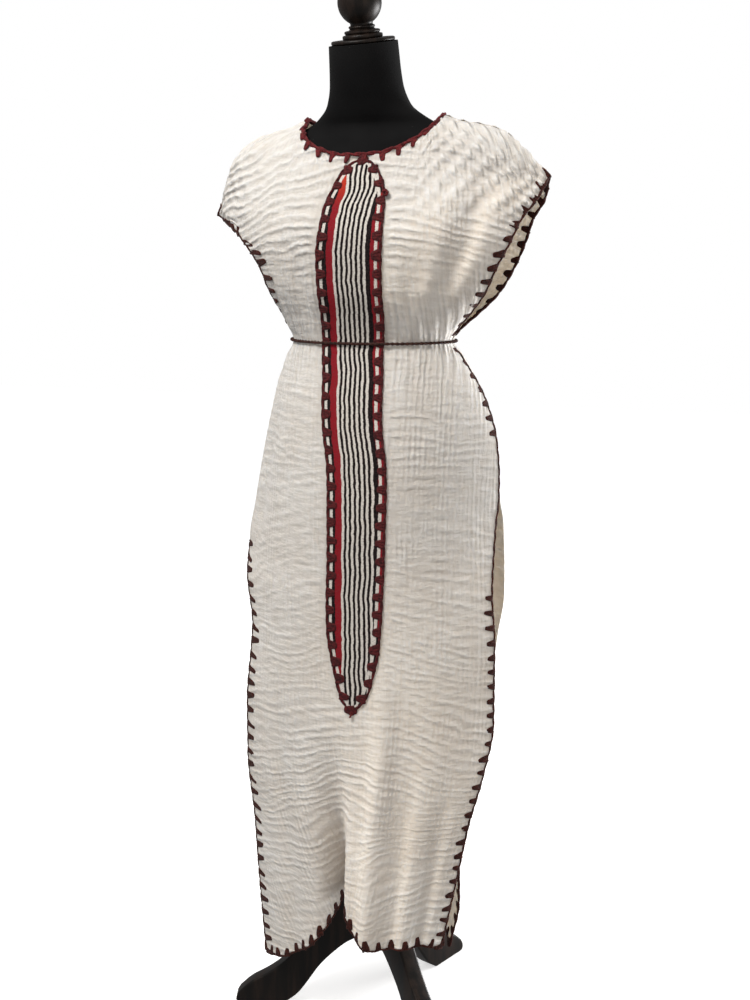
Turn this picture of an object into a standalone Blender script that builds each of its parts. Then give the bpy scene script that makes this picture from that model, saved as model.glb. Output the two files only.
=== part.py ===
"""Habesha kemis dress of crinkled cotton gauze, tied at the waist, on a limbless dress form.

The front faces -Y, the wearer's left is +X and the stand's feet rest at z 0.
"""
import math

import bmesh
import bpy
import numpy as np
from mathutils import Vector

# Walls and clearances, in metres
PANEL_WALL = 0.0016
BAND_WALL = 0.0012
SEAM_GAP = 0.0003
SEAM_HALF = 0.0009  # from the middle of a panel's wall to the seam, at its edge
BAND_GAP = 0.0005

# The grid of each panel: its columns across, and the gathers that the belt pulls in
FRONT_COLUMNS = 64
BACK_COLUMNS = 52
GATHER_DEPTH = 0.0021
GATHER_REACH = 0.062
GATHER_EDGE_U = 0.06
BELT_PINCH = 0.65
BELT_PINCH_REACH = 0.018
BAND_HOLD = 0.006
BAND_HOLD_FADE = 0.012
BELT_Z = 1.120
BELT_RADIUS = 0.0027
BELT_STANDOFF = 0.0056
BELT_OVER_BAND = 0.0012
BELT_POINTS = 56
KNOT_HALF = 0.006

# The neck hole, an oval whose ends lie on the shoulders
NECK_HALF_WIDTH = 0.1075
NECK_END_Z = 1.4525
FRONT_NECK_DROP = 0.0605
BACK_NECK_DROP = 0.0200
SHOULDER_ROLL = 0.050
SLEEVE_ROLL = 0.024

# The deep fold at the middle of the front hem
VALLEY_U = -0.12
VALLEY_LEFT_HALF_U = 0.30
VALLEY_RIGHT_HALF_U = 0.20
VALLEY_DEPTH = 0.082
VALLEY_LEFT_PULL = 0.135
VALLEY_RIGHT_PULL = 0.070
VALLEY_PULL_U = 0.33
VALLEY_TOP_Z = 0.555
VALLEY_FULL_Z = 0.200

# The dress form's neck cut, which leans forward and a little to its right
NECK_TOP = Vector((-0.006, -0.034, 1.557))
NECK_TILT_X = 0.030
NECK_TILT_Y = 0.200
NECK_TILT_FROM_Z = 1.470

# The tripod
POLE_RADIUS = 0.0125
POLE_BOTTOM_Z = 0.2223
TORSO_BOTTOM_Z = 0.800
HUB_RADIUS = 0.031
LEG_THICKNESS = 0.028
LEG_BEVEL = 0.004
LEG_AZIMUTHS = {"stand_leg_front": 51.0, "stand_leg_side": -71.0, "stand_leg_back": 160.0}

# The stand's middle, seen from the middle of the whole object's box
STAND_X = -0.0030
STAND_Y = -0.0336


def table(names, rows):
    """A table with named columns, sorted by its first column."""
    columns = np.array(sorted(rows), float).T
    return dict(zip(names.split(), columns))


def at(rows, column, place):
    """A column's value at a place along the first one, on a curve that never overshoots."""
    places = next(iter(rows.values()))
    values = rows[column]
    steps = np.diff(values) / np.diff(places)
    turns = steps[:-1] * steps[1:] <= 0
    total = np.where(turns, 1.0, steps[:-1] + steps[1:])
    inner = np.where(turns, 0.0, 2 * steps[:-1] * steps[1:] / total)
    slopes = np.concatenate([steps[:1], inner, steps[-1:]])
    place = np.clip(place, places[0], places[-1])
    i = np.clip(np.searchsorted(places, place) - 1, 0, len(places) - 2)
    span = places[i + 1] - places[i]
    t = (place - places[i]) / span
    rise = values[i] * (1 + 2 * t) * (1 - t) ** 2 + values[i + 1] * (3 - 2 * t) * t**2
    return rise + span * (slopes[i] * t * (1 - t) ** 2 - slopes[i + 1] * (1 - t) * t**2)


def soft_step(t):
    t = np.clip(t, 0.0, 1.0)
    return t * t * (3 - 2 * t)


def bump(distance, half_width):
    """1 in the middle, falling smoothly to 0 at half_width."""
    return 0.5 + 0.5 * np.cos(np.pi * np.clip(np.abs(distance) / half_width, 0.0, 1.0))


# Where the panels' edges run on the +X side: open sleeve, seam from belt to hip, open slit
PLUS_EDGE = table(
    "z front_x front_y back_x back_y",
    [
        (1.362, 0.270, -SEAM_HALF, 0.270, SEAM_HALF),
        (1.330, 0.259, -0.0260, 0.258, 0.0240),
        (1.303, 0.241, -0.0420, 0.238, 0.0380),
        (1.269, 0.227, -0.0540, 0.224, 0.0500),
        (1.234, 0.209, -0.0580, 0.208, 0.0540),
        (1.194, 0.188, -0.0480, 0.186, 0.0460),
        (1.162, 0.159, -0.0280, 0.158, 0.0280),
        (1.141, 0.137, -0.0120, 0.137, 0.0120),
        (1.120, 0.1245, -SEAM_HALF, 0.1245, SEAM_HALF),
        (1.095, 0.142, -SEAM_HALF, 0.142, SEAM_HALF),
        (1.033, 0.179, -SEAM_HALF, 0.179, SEAM_HALF),
        (0.972, 0.197, -SEAM_HALF, 0.197, SEAM_HALF),
        (0.910, 0.202, -SEAM_HALF, 0.202, SEAM_HALF),
        (0.880, 0.202, -0.0014, 0.2035, 0.0014),
        (0.845, 0.200, -0.0070, 0.2085, 0.0060),
        (0.780, 0.199, -0.0170, 0.2095, 0.0130),
        (0.728, 0.201, -0.0270, 0.2085, 0.0190),
        (0.655, 0.207, -0.0300, 0.196, 0.0290),
        (0.529, 0.207, -0.0300, 0.180, 0.0360),
        (0.444, 0.195, -0.0460, 0.160, 0.0400),
        (0.369, 0.177, -0.0580, 0.141, 0.0390),
        (0.271, 0.158, -0.0600, 0.1355, 0.0340),
        (0.190, 0.142, -0.0615, 0.1370, 0.0310),
        (0.100, 0.125, -0.0620, 0.1190, 0.0290),
    ],
)

# The same on the -X side, whose sleeve hangs lower
MINUS_EDGE = table(
    "z front_x front_y back_x back_y",
    [
        (1.313, -0.264, -SEAM_HALF, -0.264, SEAM_HALF),
        (1.294, -0.224, -0.0370, -0.229, 0.0280),
        (1.275, -0.194, -0.0660, -0.204, 0.0460),
        (1.245, -0.163, -0.0840, -0.175, 0.0560),
        (1.216, -0.150, -0.0800, -0.160, 0.0520),
        (1.181, -0.1455, -0.0520, -0.152, 0.0360),
        (1.150, -0.1395, -0.0180, -0.141, 0.0140),
        (1.120, -0.129, -SEAM_HALF, -0.129, SEAM_HALF),
        (1.095, -0.142, -SEAM_HALF, -0.142, SEAM_HALF),
        (1.044, -0.164, -SEAM_HALF, -0.164, SEAM_HALF),
        (0.954, -0.188, -SEAM_HALF, -0.188, SEAM_HALF),
        (0.853, -0.208, -SEAM_HALF, -0.208, SEAM_HALF),
        (0.790, -0.219, -0.0012, -0.219, 0.0012),
        (0.735, -0.209, -0.0320, -0.212, 0.0180),
        (0.658, -0.191, -0.0540, -0.200, 0.0280),
        (0.530, -0.199, -0.0620, -0.204, 0.0330),
        (0.442, -0.199, -0.0630, -0.201, 0.0360),
        (0.330, -0.187, -0.0650, -0.192, 0.0380),
        (0.232, -0.180, -0.0680, -0.184, 0.0380),
        (0.080, -0.165, -0.0730, -0.172, 0.0360),
    ],
)

# The panels' middle, and how full their sections are between the middle and the edges
MIDDLE = table(
    "z front_y back_y power roundness",
    [
        (1.4550, -0.0200, 0.0180, 2.6, 1.00),
        (1.4300, -0.0520, 0.0400, 2.6, 1.00),
        (1.3910, -0.0785, 0.0650, 2.6, 1.00),
        (1.3400, -0.1080, 0.0830, 2.6, 1.00),
        (1.2700, -0.1340, 0.0930, 2.6, 1.00),
        (1.2000, -0.1250, 0.0920, 2.4, 0.85),
        (1.1500, -0.1050, 0.0890, 2.1, 0.60),
        (1.1200, -0.0970, 0.0870, 2.0, 0.50),
        (1.0950, -0.1010, 0.0920, 2.0, 0.55),
        (1.0300, -0.1150, 0.1120, 2.2, 0.75),
        (0.9300, -0.1280, 0.1330, 2.3, 0.95),
        (0.8500, -0.1330, 0.1380, 2.3, 1.00),
        (0.7000, -0.1340, 0.1360, 2.3, 1.00),
        (0.4500, -0.1360, 0.1320, 2.3, 1.00),
        (0.1500, -0.1400, 0.1300, 2.3, 1.00),
    ],
)

# The height of the shoulder line, out to the sleeve tips
SHOULDER_PLUS = table(
    "x z",
    [(0.0, 1.4550), (0.1075, 1.4525), (0.135, 1.4440), (0.190, 1.4320)]
    + [(0.228, 1.4050), (0.250, 1.3820), (0.270, 1.3620)],
)
SHOULDER_MINUS = table(
    "x z",
    [(0.0, 1.4550), (0.1075, 1.4525), (0.135, 1.4420), (0.190, 1.4280)]
    + [(0.228, 1.4020), (0.246, 1.3560), (0.264, 1.3130)],
)

# The hems' height across each panel, from its -X edge at u -1 to its +X edge at u 1
FRONT_HEM = table(
    "u z",
    [(-1.0, 0.100), (-0.75, 0.114), (-0.50, 0.148), (-0.35, 0.184), (-0.20, 0.228)]
    + [(-0.11, 0.247), (-0.02, 0.240), (0.06, 0.221), (0.14, 0.198), (0.25, 0.182)]
    + [(0.40, 0.170), (0.55, 0.168), (0.70, 0.168), (0.85, 0.164), (1.0, 0.158)],
)
BACK_HEM = table("u z", [(-1.0, 0.098), (-0.5, 0.140), (0.0, 0.156), (0.5, 0.146), (1.0, 0.112)])

# Soft folds as troughs: where, how wide in u, how deep, and between which heights
FRONT_FOLDS = [
    {"u": 0.40, "half": 0.11, "depth": 0.009, "top": 0.60, "full": 0.25, "low": -1.0},
    {"u": 0.70, "half": 0.12, "depth": 0.011, "top": 0.52, "full": 0.25, "low": -1.0},
    {"u": -0.60, "half": 0.12, "depth": 0.008, "top": 0.66, "full": 0.30, "low": -1.0},
    {"u": -0.83, "half": 0.09, "depth": 0.008, "top": 1.04, "full": 0.90, "low": 0.76},
    {"u": -0.52, "half": 0.13, "depth": 0.005, "top": 1.30, "full": 1.20, "low": 1.12},
    {"u": 0.50, "half": 0.13, "depth": 0.006, "top": 1.31, "full": 1.20, "low": 1.12},
    {"u": 0.78, "half": 0.10, "depth": 0.007, "top": 1.36, "full": 1.27, "low": 1.15},
]
BACK_FOLDS = [
    {"u": -0.45, "half": 0.16, "depth": 0.026, "top": 0.75, "full": 0.20, "low": -1.0},
    {"u": 0.02, "half": 0.14, "depth": 0.018, "top": 0.60, "full": 0.20, "low": -1.0},
    {"u": 0.48, "half": 0.16, "depth": 0.028, "top": 0.80, "full": 0.20, "low": -1.0},
    {"u": -0.50, "half": 0.14, "depth": 0.006, "top": 1.34, "full": 1.22, "low": 1.12},
    {"u": 0.50, "half": 0.14, "depth": 0.006, "top": 1.34, "full": 1.22, "low": 1.12},
]

# The heights of the rows below the chest, and the shares of the way above and below them
BODY_ROWS_Z = [1.270, 1.232, 1.200, 1.170, 1.145, 1.120, 1.095, 1.065, 1.030, 0.980, 0.925]
BODY_ROWS_Z += [0.860, 0.800, 0.740, 0.660, 0.563, 0.490, 0.430]
CHEST_SHARES = [0.0, 0.14, 0.34, 0.56, 0.78]
HEM_SHARES = [0.25, 0.50, 0.75, 1.0]
BACK_ROWS_Z = [1.270, 1.215, 1.165, 1.120, 1.075, 1.010, 0.900, 0.800, 0.680, 0.430]

# The striped centre band: its outline from the neck to its point
BAND = table(
    "z middle_x half_width",
    [
        (1.3840, 0.0110, 0.0040),
        (1.3780, 0.0105, 0.0170),
        (1.3640, 0.0110, 0.0285),
        (1.3430, 0.0125, 0.0380),
        (1.3170, 0.0110, 0.0450),
        (1.2900, 0.0105, 0.0470),
        (1.2500, 0.0072, 0.0490),
        (1.1700, 0.0035, 0.0480),
        (1.1100, -0.0015, 0.0465),
        (1.0700, 0.0020, 0.0460),
        (1.0100, 0.0050, 0.0455),
        (0.9790, 0.0090, 0.0450),
        (0.9400, 0.0150, 0.0445),
        (0.8900, 0.0172, 0.0440),
        (0.8000, 0.0165, 0.0430),
        (0.7400, 0.0145, 0.0430),
        (0.6800, 0.0135, 0.0410),
        (0.6500, 0.0143, 0.0370),
        (0.6200, 0.0145, 0.0305),
        (0.5950, 0.0143, 0.0245),
        (0.5750, 0.0125, 0.0155),
        (0.5630, 0.0115, 0.0030),
    ],
)
BAND_COLUMNS = 8
BAND_ROW_STEP = 0.5

# The dress form's sections, from the cut at its hips up to the neck
TORSO = table(
    "z middle_x front_y back_y half_width power",
    [
        (0.800, 0.0, -0.098, 0.104, 0.163, 2.2),
        (0.900, 0.0, -0.104, 0.110, 0.166, 2.2),
        (1.000, 0.0, -0.097, 0.096, 0.150, 2.1),
        (1.060, 0.0, -0.090, 0.084, 0.126, 2.0),
        (1.120, 0.0, -0.086, 0.076, 0.1125, 2.0),
        (1.180, 0.0, -0.097, 0.078, 0.122, 2.0),
        (1.240, 0.0, -0.119, 0.082, 0.140, 2.1),
        (1.280, 0.0, -0.124, 0.082, 0.150, 2.2),
        (1.330, 0.0, -0.104, 0.077, 0.166, 2.2),
        (1.370, 0.0, -0.083, 0.064, 0.184, 2.1),
        (1.400, 0.0, -0.066, 0.048, 0.192, 2.0),
        (1.4199, 0.0, -0.050, 0.035, 0.182, 1.9),
        (1.430, 0.0, -0.041, 0.027, 0.136, 1.9),
        (1.441, 0.0, -0.037, 0.023, 0.104, 2.0),
        (1.450, -0.001, -0.043, 0.023, 0.088, 2.0),
        (1.470, -0.004, -0.055, 0.024, 0.066, 2.0),
        (1.500, -0.005, -0.069, 0.021, 0.056, 2.0),
        (1.557, -0.006, -0.086, 0.018, 0.0510, 2.0),
    ],
)
TORSO_POINTS = 26
TORSO_ROWS_Z = [0.800, 0.850, 0.900, 0.960, 1.020, 1.080, 1.120, 1.160, 1.210, 1.250, 1.285]
TORSO_ROWS_Z += [1.320, 1.355, 1.385, 1.405, 1.4199, 1.430, 1.441, 1.450, 1.470, 1.500, 1.557]

# Turned profiles, radius and height, from the top down
FINIAL_BALL_RADIUS = 0.0325
FINIAL_BALL_Z = 0.0500
FINIAL_FOOT = [(0.0175, 0.0185), (0.0205, 0.0125), (0.0265, 0.0120), (0.0265, 0.0065)]
FINIAL_FOOT += [(0.0300, 0.0060), (0.0300, 0.0), (0.0, 0.0)]
PLATE_RADIUS = 0.0475
PLATE_HEIGHT = 0.006
HUB_PROFILE = [(0.0, 0.222), (0.020, 0.222), (0.027, 0.216), (HUB_RADIUS, 0.208)]
HUB_PROFILE += [(HUB_RADIUS, 0.124), (0.027, 0.116), (0.018, 0.112), (0.0, 0.112)]

# A leg seen from its side: distance from the stand's middle, and height
LEG_OUTLINE = [(HUB_RADIUS + SEAM_GAP, 0.206), (0.0600, 0.191), (0.0850, 0.165), (0.1080, 0.134)]
LEG_OUTLINE += [(0.1300, 0.103), (0.1550, 0.076), (0.1820, 0.056), (0.2100, 0.040)]
LEG_OUTLINE += [(0.2300, 0.022), (0.2360, 0.008), (0.2300, 0.0), (0.1560, 0.0)]
LEG_OUTLINE += [(0.1310, 0.019), (0.1120, 0.044), (0.0940, 0.070), (0.0700, 0.095)]
LEG_OUTLINE += [(0.0480, 0.113), (HUB_RADIUS + SEAM_GAP, 0.122)]

GAUZE = ("gauze", (0.82, 0.80, 0.76), 0.92, 0.0)
WEAVE = ("striped_weave", (0.35, 0.05, 0.07), 0.85, 0.0)
YARN = ("brown_yarn", (0.09, 0.03, 0.025), 0.85, 0.0)
JERSEY = ("black_jersey", (0.012, 0.012, 0.013), 0.95, 0.0)
WOOD = ("dark_wood", (0.035, 0.02, 0.013), 0.45, 0.0)
METAL = ("dark_metal", (0.03, 0.03, 0.03), 0.40, 0.8)


def clear_scene():
    for item in list(bpy.data.objects):
        bpy.data.objects.remove(item, do_unlink=True)


def make_material(finish):
    name, colour, roughness, metallic = finish
    material = bpy.data.materials.get(name)
    if material is None:
        material = bpy.data.materials.new(name)
        material.use_nodes = True
        shader = material.node_tree.nodes["Principled BSDF"]
        shader.inputs["Base Color"].default_value = (*colour, 1.0)
        shader.inputs["Roughness"].default_value = roughness
        shader.inputs["Metallic"].default_value = metallic
    return material


def add_object(name, mesh, finish):
    """A named sub-part in the dress's collection, carried by the stand's middle."""
    made = bpy.data.objects.new(name, mesh)
    bpy.data.collections["habesha_kemis"].objects.link(made)
    made.parent = bpy.data.objects["stand_middle"]
    mesh.materials.clear()
    mesh.materials.append(make_material(finish))
    return made


def grid_mesh(name, points):
    """An open mesh through a grid of points; its front is on the left of row 0 to row 1."""
    rows, columns = points.shape[:2]
    mesh = bpy.data.meshes.new(name)
    faces = []
    for r in range(rows - 1):
        for c in range(columns - 1):
            first = r * columns + c
            faces.append((first, first + columns, first + columns + 1, first + 1))
    mesh.from_pydata(points.reshape(-1, 3).tolist(), [], faces)
    mesh.update()
    return mesh


def give_wall(made, thickness):
    """Turns an open cloth surface into a wall with that surface at its middle."""
    wall = made.modifiers.new("wall", "SOLIDIFY")
    wall.thickness = thickness
    wall.offset = 0.0
    wall.use_even_offset = True
    wall.use_rim = True


def shoulder_z(x):
    """The shoulder line's height at a distance from the middle."""
    return np.where(x < 0, at(SHOULDER_MINUS, "z", -x), at(SHOULDER_PLUS, "z", x))


def neck_z(x, drop):
    """The neck hole's edge, an oval; past its ends it is the shoulder line."""
    inside = np.clip(1 - (x / NECK_HALF_WIDTH) ** 2, 0.0, 1.0)
    return np.where(inside > 0, NECK_END_Z - drop * np.sqrt(inside), shoulder_z(x))


def column_places(count):
    """Places across a panel from -1 to 1, closer together towards its edges."""
    even = np.linspace(-1.0, 1.0, count + 1)
    return 0.62 * np.sin(even * math.pi / 2) + 0.38 * even, even


def fold_depth(folds, u, z):
    """How far the soft folds draw the cloth in, towards the form."""
    depth = np.zeros(np.broadcast(u, z).shape)
    for fold in folds:
        grown = soft_step((fold["top"] - z) / (fold["top"] - fold["full"]))
        kept = soft_step((z - fold["low"]) / 0.10)
        depth += fold["depth"] * grown * kept * bump(u - fold["u"], fold["half"])
    return depth


def band_mask(x, z):
    """1 where the band holds the front panel flat, and 0 away from it."""
    reach = at(BAND, "half_width", z) + BAND_HOLD
    beside = np.abs(x - at(BAND, "middle_x", z)) - reach
    within = (z < BAND["z"][-1]) & (z > BAND["z"][0])
    return np.where(within, 1 - soft_step(beside / BAND_HOLD_FADE), 0.0)


def panel_points(face, u, z, even=None):
    """Points at the middle of a panel's wall; with even given, the belt's gathers too."""
    edge_x = np.where(u < 0, at(MINUS_EDGE, face + "_x", z), at(PLUS_EDGE, face + "_x", z))
    edge_y = np.where(u < 0, at(MINUS_EDGE, face + "_y", z), at(PLUS_EDGE, face + "_y", z))
    side = -1.0 if face == "front" else 1.0
    x = np.abs(u) * edge_x
    full = (1 - np.abs(u) ** at(MIDDLE, "power", z)) ** at(MIDDLE, "roundness", z)
    y = edge_y + (at(MIDDLE, face + "_y", z) - edge_y) * full
    roll = SHOULDER_ROLL + (SLEEVE_ROLL - SHOULDER_ROLL) * np.abs(u) ** 4
    below = np.clip((shoulder_z(x) - z) / roll, 0.0, 1.0)
    y = side * SEAM_HALF + (y - side * SEAM_HALF) * np.sqrt(1 - (1 - below) ** 2)
    y = y - side * fold_depth(FRONT_FOLDS if face == "front" else BACK_FOLDS, u, z)
    if face == "front":
        grown = soft_step((VALLEY_TOP_Z - z) / (VALLEY_TOP_Z - VALLEY_FULL_Z))
        off = u - VALLEY_U
        half_u = np.where(off < 0, VALLEY_LEFT_HALF_U, VALLEY_RIGHT_HALF_U)
        y = y + VALLEY_DEPTH * grown * bump(off, half_u)
        pull = np.where(off < 0, VALLEY_LEFT_PULL, VALLEY_RIGHT_PULL)
        x = x - pull * grown * off * np.exp(-((off / VALLEY_PULL_U) ** 2))
    points = np.stack(np.broadcast_arrays(x, y, z), axis=-1)
    if even is not None:
        count = FRONT_COLUMNS if face == "front" else BACK_COLUMNS
        near = np.exp(-(((z - BELT_Z) / GATHER_REACH) ** 2))
        held = 1 - BELT_PINCH * np.exp(-(((z - BELT_Z) / BELT_PINCH_REACH) ** 2))
        edge = soft_step((1 - np.abs(u)) / GATHER_EDGE_U)
        free = 1 - band_mask(x, z) if face == "front" else 1.0
        wave = np.cos(math.pi * count / 2 * (even + 1))
        outward = np.stack([x * 0.5, y, np.zeros_like(x)], axis=-1)
        outward /= np.maximum(np.linalg.norm(outward, axis=-1, keepdims=True), 1e-6)
        points = points + outward * (GATHER_DEPTH * near * held * edge * free * wave)[..., None]
    return points


def panel_grid(face):
    """The whole panel's points, row by row from the shoulder line and neck to the hem."""
    if face == "front":
        u, even = column_places(FRONT_COLUMNS)
        rows_z, drop, hem = BODY_ROWS_Z, FRONT_NECK_DROP, FRONT_HEM
    else:
        u, even = column_places(BACK_COLUMNS)
        rows_z, drop, hem = BACK_ROWS_Z, BACK_NECK_DROP, BACK_HEM
    tip_x = np.where(u < 0, MINUS_EDGE["front_x"][-1], PLUS_EDGE["front_x"][-1])
    top_z = neck_z(np.abs(u) * tip_x, drop)
    hem_z = at(hem, "z", u)
    heights = [top_z + (rows_z[0] - top_z) * share for share in CHEST_SHARES]
    heights += [np.full_like(u, z) for z in rows_z]
    heights += [rows_z[-1] + (hem_z - rows_z[-1]) * share for share in HEM_SHARES]
    return np.stack([panel_points(face, u, z, even) for z in heights])


def make_panel(face):
    points = panel_grid(face)
    if face == "back":
        points = points[:, ::-1]
    made = add_object(face + "_panel", grid_mesh(face + "_panel", points), GAUZE)
    give_wall(made, PANEL_WALL)
    return made


def grid_normals(points):
    """Outward normals of the front panel's grid, at its points."""
    along = np.gradient(points, axis=0)
    across = np.gradient(points, axis=1)
    normals = np.cross(along, across)
    return normals / np.linalg.norm(normals, axis=-1, keepdims=True)


def make_band():
    """The striped band, made from the front panel's own points and moved out from them."""
    points = panel_grid("front")
    normals = grid_normals(points)
    out = PANEL_WALL / 2 + BAND_GAP + BAND_WALL / 2
    middle_z = points[:, FRONT_COLUMNS // 2, 2]
    rows = np.arange(len(middle_z))
    ends = [np.interp(-z, -middle_z, rows) for z in (BAND["z"][-1], BAND["z"][0])]
    inner = np.arange(math.ceil(ends[0] / BAND_ROW_STEP), ends[1] / BAND_ROW_STEP) * BAND_ROW_STEP
    band_rows = []
    for row in [ends[0], ends[0] + 0.15, ends[0] + 0.35, *inner, ends[1]]:
        low = min(int(row), len(rows) - 2)
        share = row - low
        line = points[low] * (1 - share) + points[low + 1] * share
        normal = normals[low] * (1 - share) + normals[low + 1] * share
        z = np.interp(row, rows, middle_z)
        half = at(BAND, "half_width", z)
        wanted = at(BAND, "middle_x", z) + half * np.linspace(-1.0, 1.0, BAND_COLUMNS + 1)
        moved = [np.interp(wanted, line[:, 0], (line + normal * out)[:, i]) for i in range(3)]
        band_rows.append((row, np.stack(moved, axis=-1)))
    ordered = [line for row, line in sorted(band_rows, key=lambda pair: pair[0])]
    made = add_object("centre_band", grid_mesh("centre_band", np.stack(ordered)), WEAVE)
    give_wall(made, BAND_WALL)


def belt_line(count):
    """Points round the waist outside both panels, from one side of the knot to the other."""
    u = np.sin(np.linspace(-math.pi / 2, math.pi / 2, 161))
    front = panel_points("front", u, np.full_like(u, BELT_Z))
    back = panel_points("back", u[::-1], np.full_like(u, BELT_Z))
    ring = np.concatenate([front, back[1:-1]])
    ring = np.concatenate([ring, ring[:1]])
    along = np.gradient(ring, axis=0)
    outward = np.cross(along, (0.0, 0.0, 1.0))
    outward /= np.linalg.norm(outward, axis=1, keepdims=True)
    over_band = BELT_OVER_BAND * band_mask(ring[:, 0], ring[:, 2]) * (ring[:, 1] < 0)
    ring = ring + outward * (BELT_STANDOFF + over_band)[:, None]
    start = int(np.argmax(np.where(np.abs(ring[:, 0]) < 0.02, ring[:, 1], -1.0)))
    ring = np.concatenate([ring[start:-1], ring[: start + 1]])
    length = np.concatenate([[0.0], np.cumsum(np.linalg.norm(np.diff(ring, axis=0), axis=1))])
    ends = KNOT_HALF + SEAM_GAP
    places = np.linspace(ends, length[-1] - ends, count)
    return np.stack([np.interp(places, length, ring[:, i]) for i in range(3)], axis=-1), ring[0]


def make_belt():
    """The twisted cord that ties the dress, as a plain tube, and its knot at the back."""
    line, knot_place = belt_line(BELT_POINTS)
    curve = bpy.data.curves.new("waist_cord", "CURVE")
    curve.dimensions = "3D"
    curve.bevel_depth = BELT_RADIUS
    curve.bevel_resolution = 2
    curve.use_fill_caps = True
    spline = curve.splines.new("POLY")
    spline.points.add(len(line) - 1)
    for point, place in zip(spline.points, line):
        point.co = (*place, 1.0)
    add_object("waist_cord", curve, YARN)
    shape = bmesh.new()
    bmesh.ops.create_uvsphere(shape, u_segments=12, v_segments=8, radius=1.0)
    bmesh.ops.scale(shape, vec=(KNOT_HALF, 0.0050, 0.0058), verts=shape.verts)
    mesh = bpy.data.meshes.new("waist_knot")
    shape.to_mesh(mesh)
    shape.free()
    knot = add_object("waist_knot", mesh, YARN)
    knot.location = (knot_place[0], knot_place[1] + 0.0012, knot_place[2])


def torso_ring(z):
    """One section of the dress form; near the neck's top the sections tilt."""
    angle = np.linspace(0.0, 2 * math.pi, TORSO_POINTS, endpoint=False)
    power = 2 / at(TORSO, "power", z)
    cosine, sine = np.cos(angle), np.sin(angle)
    middle_y = (at(TORSO, "front_y", z) + at(TORSO, "back_y", z)) / 2
    half_depth = (at(TORSO, "back_y", z) - at(TORSO, "front_y", z)) / 2
    off_x = at(TORSO, "half_width", z) * np.sign(cosine) * np.abs(cosine) ** power
    off_y = half_depth * np.sign(sine) * np.abs(sine) ** power
    tilt = soft_step((z - NECK_TILT_FROM_Z) / (NECK_TOP.z - NECK_TILT_FROM_Z))
    height = z + tilt * (off_x * NECK_TILT_X + off_y * NECK_TILT_Y)
    return np.stack([at(TORSO, "middle_x", z) + off_x, middle_y + off_y, height], axis=-1)


def make_torso():
    rings = [torso_ring(z) for z in TORSO_ROWS_Z]
    shape = bmesh.new()
    loops = [[shape.verts.new(point) for point in ring] for ring in rings]
    for low, high in zip(loops, loops[1:]):
        for i in range(TORSO_POINTS):
            j = (i + 1) % TORSO_POINTS
            shape.faces.new((low[i], low[j], high[j], high[i]))
    shape.faces.new(list(reversed(loops[0])))
    shape.faces.new(loops[-1])
    mesh = bpy.data.meshes.new("form_torso")
    shape.to_mesh(mesh)
    shape.free()
    mesh.shade_smooth()
    add_object("form_torso", mesh, JERSEY)


def make_turned(name, profile, finish, steps=28):
    """A turned piece: its profile runs down its outer side from top to bottom."""
    mesh = bpy.data.meshes.new(name)
    points = [(radius, 0.0, height) for radius, height in profile]
    mesh.from_pydata(points, [(i, i + 1) for i in range(len(points) - 1)], [])
    made = add_object(name, mesh, finish)
    turn = made.modifiers.new("turn", "SCREW")
    turn.axis = "Z"
    turn.steps = steps
    turn.render_steps = steps
    turn.use_merge_vertices = True
    turn.merge_threshold = 0.00001
    turn.use_smooth_shade = True
    return made


def make_neck_cap():
    """The wooden plate on the neck's cut and the turned finial on it, both tilted with it."""
    up = Vector((-NECK_TILT_X, -NECK_TILT_Y, 1.0)).normalized()
    turned = Vector((0.0, 0.0, 1.0)).rotation_difference(up)
    top_edge = 0.0012
    plate_profile = [(0.0, PLATE_HEIGHT), (PLATE_RADIUS - top_edge, PLATE_HEIGHT)]
    plate_profile += [(PLATE_RADIUS, PLATE_HEIGHT - top_edge), (PLATE_RADIUS, 0.0), (0.0, 0.0)]
    plate = make_turned("neck_plate", plate_profile, WOOD)
    end = math.asin(0.0175 / FINIAL_BALL_RADIUS)
    angles = np.linspace(0.0, math.pi - end, 11)
    ball = [
        (FINIAL_BALL_RADIUS * math.sin(a), FINIAL_BALL_Z + FINIAL_BALL_RADIUS * math.cos(a))
        for a in angles
    ]
    ball[0] = (0.0, ball[0][1])
    finial = make_turned("finial", ball + FINIAL_FOOT, WOOD, steps=24)
    for made, height in ((plate, SEAM_GAP), (finial, PLATE_HEIGHT + 2 * SEAM_GAP)):
        made.rotation_mode = "QUATERNION"
        made.rotation_quaternion = turned
        made.location = NECK_TOP + up * height


def make_stand():
    """The hidden pole, the turned hub and three cut legs with bevelled edges."""
    length = TORSO_BOTTOM_Z - SEAM_GAP - POLE_BOTTOM_Z
    profile = [(0.0, length), (POLE_RADIUS, length), (POLE_RADIUS, 0.0), (0.0, 0.0)]
    pole = make_turned("stand_pole", profile, METAL, steps=20)
    pole.location = (0.0, 0.0, POLE_BOTTOM_Z)
    make_turned("stand_hub", HUB_PROFILE, WOOD)
    for name, azimuth in LEG_AZIMUTHS.items():
        shape = bmesh.new()
        outline = [shape.verts.new((r, -LEG_THICKNESS / 2, z)) for r, z in LEG_OUTLINE]
        face = shape.faces.new(outline)
        grown = bmesh.ops.extrude_face_region(shape, geom=[face])
        moved = [item for item in grown["geom"] if isinstance(item, bmesh.types.BMVert)]
        bmesh.ops.translate(shape, vec=(0.0, LEG_THICKNESS, 0.0), verts=moved)
        bmesh.ops.recalc_face_normals(shape, faces=shape.faces)
        mesh = bpy.data.meshes.new(name)
        shape.to_mesh(mesh)
        shape.free()
        leg = add_object(name, mesh, WOOD)
        leg.rotation_euler.z = math.radians(azimuth - 90.0)
        bevel = leg.modifiers.new("edges", "BEVEL")
        bevel.width = LEG_BEVEL
        bevel.segments = 1
        bevel.angle_limit = math.radians(50.0)


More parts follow.
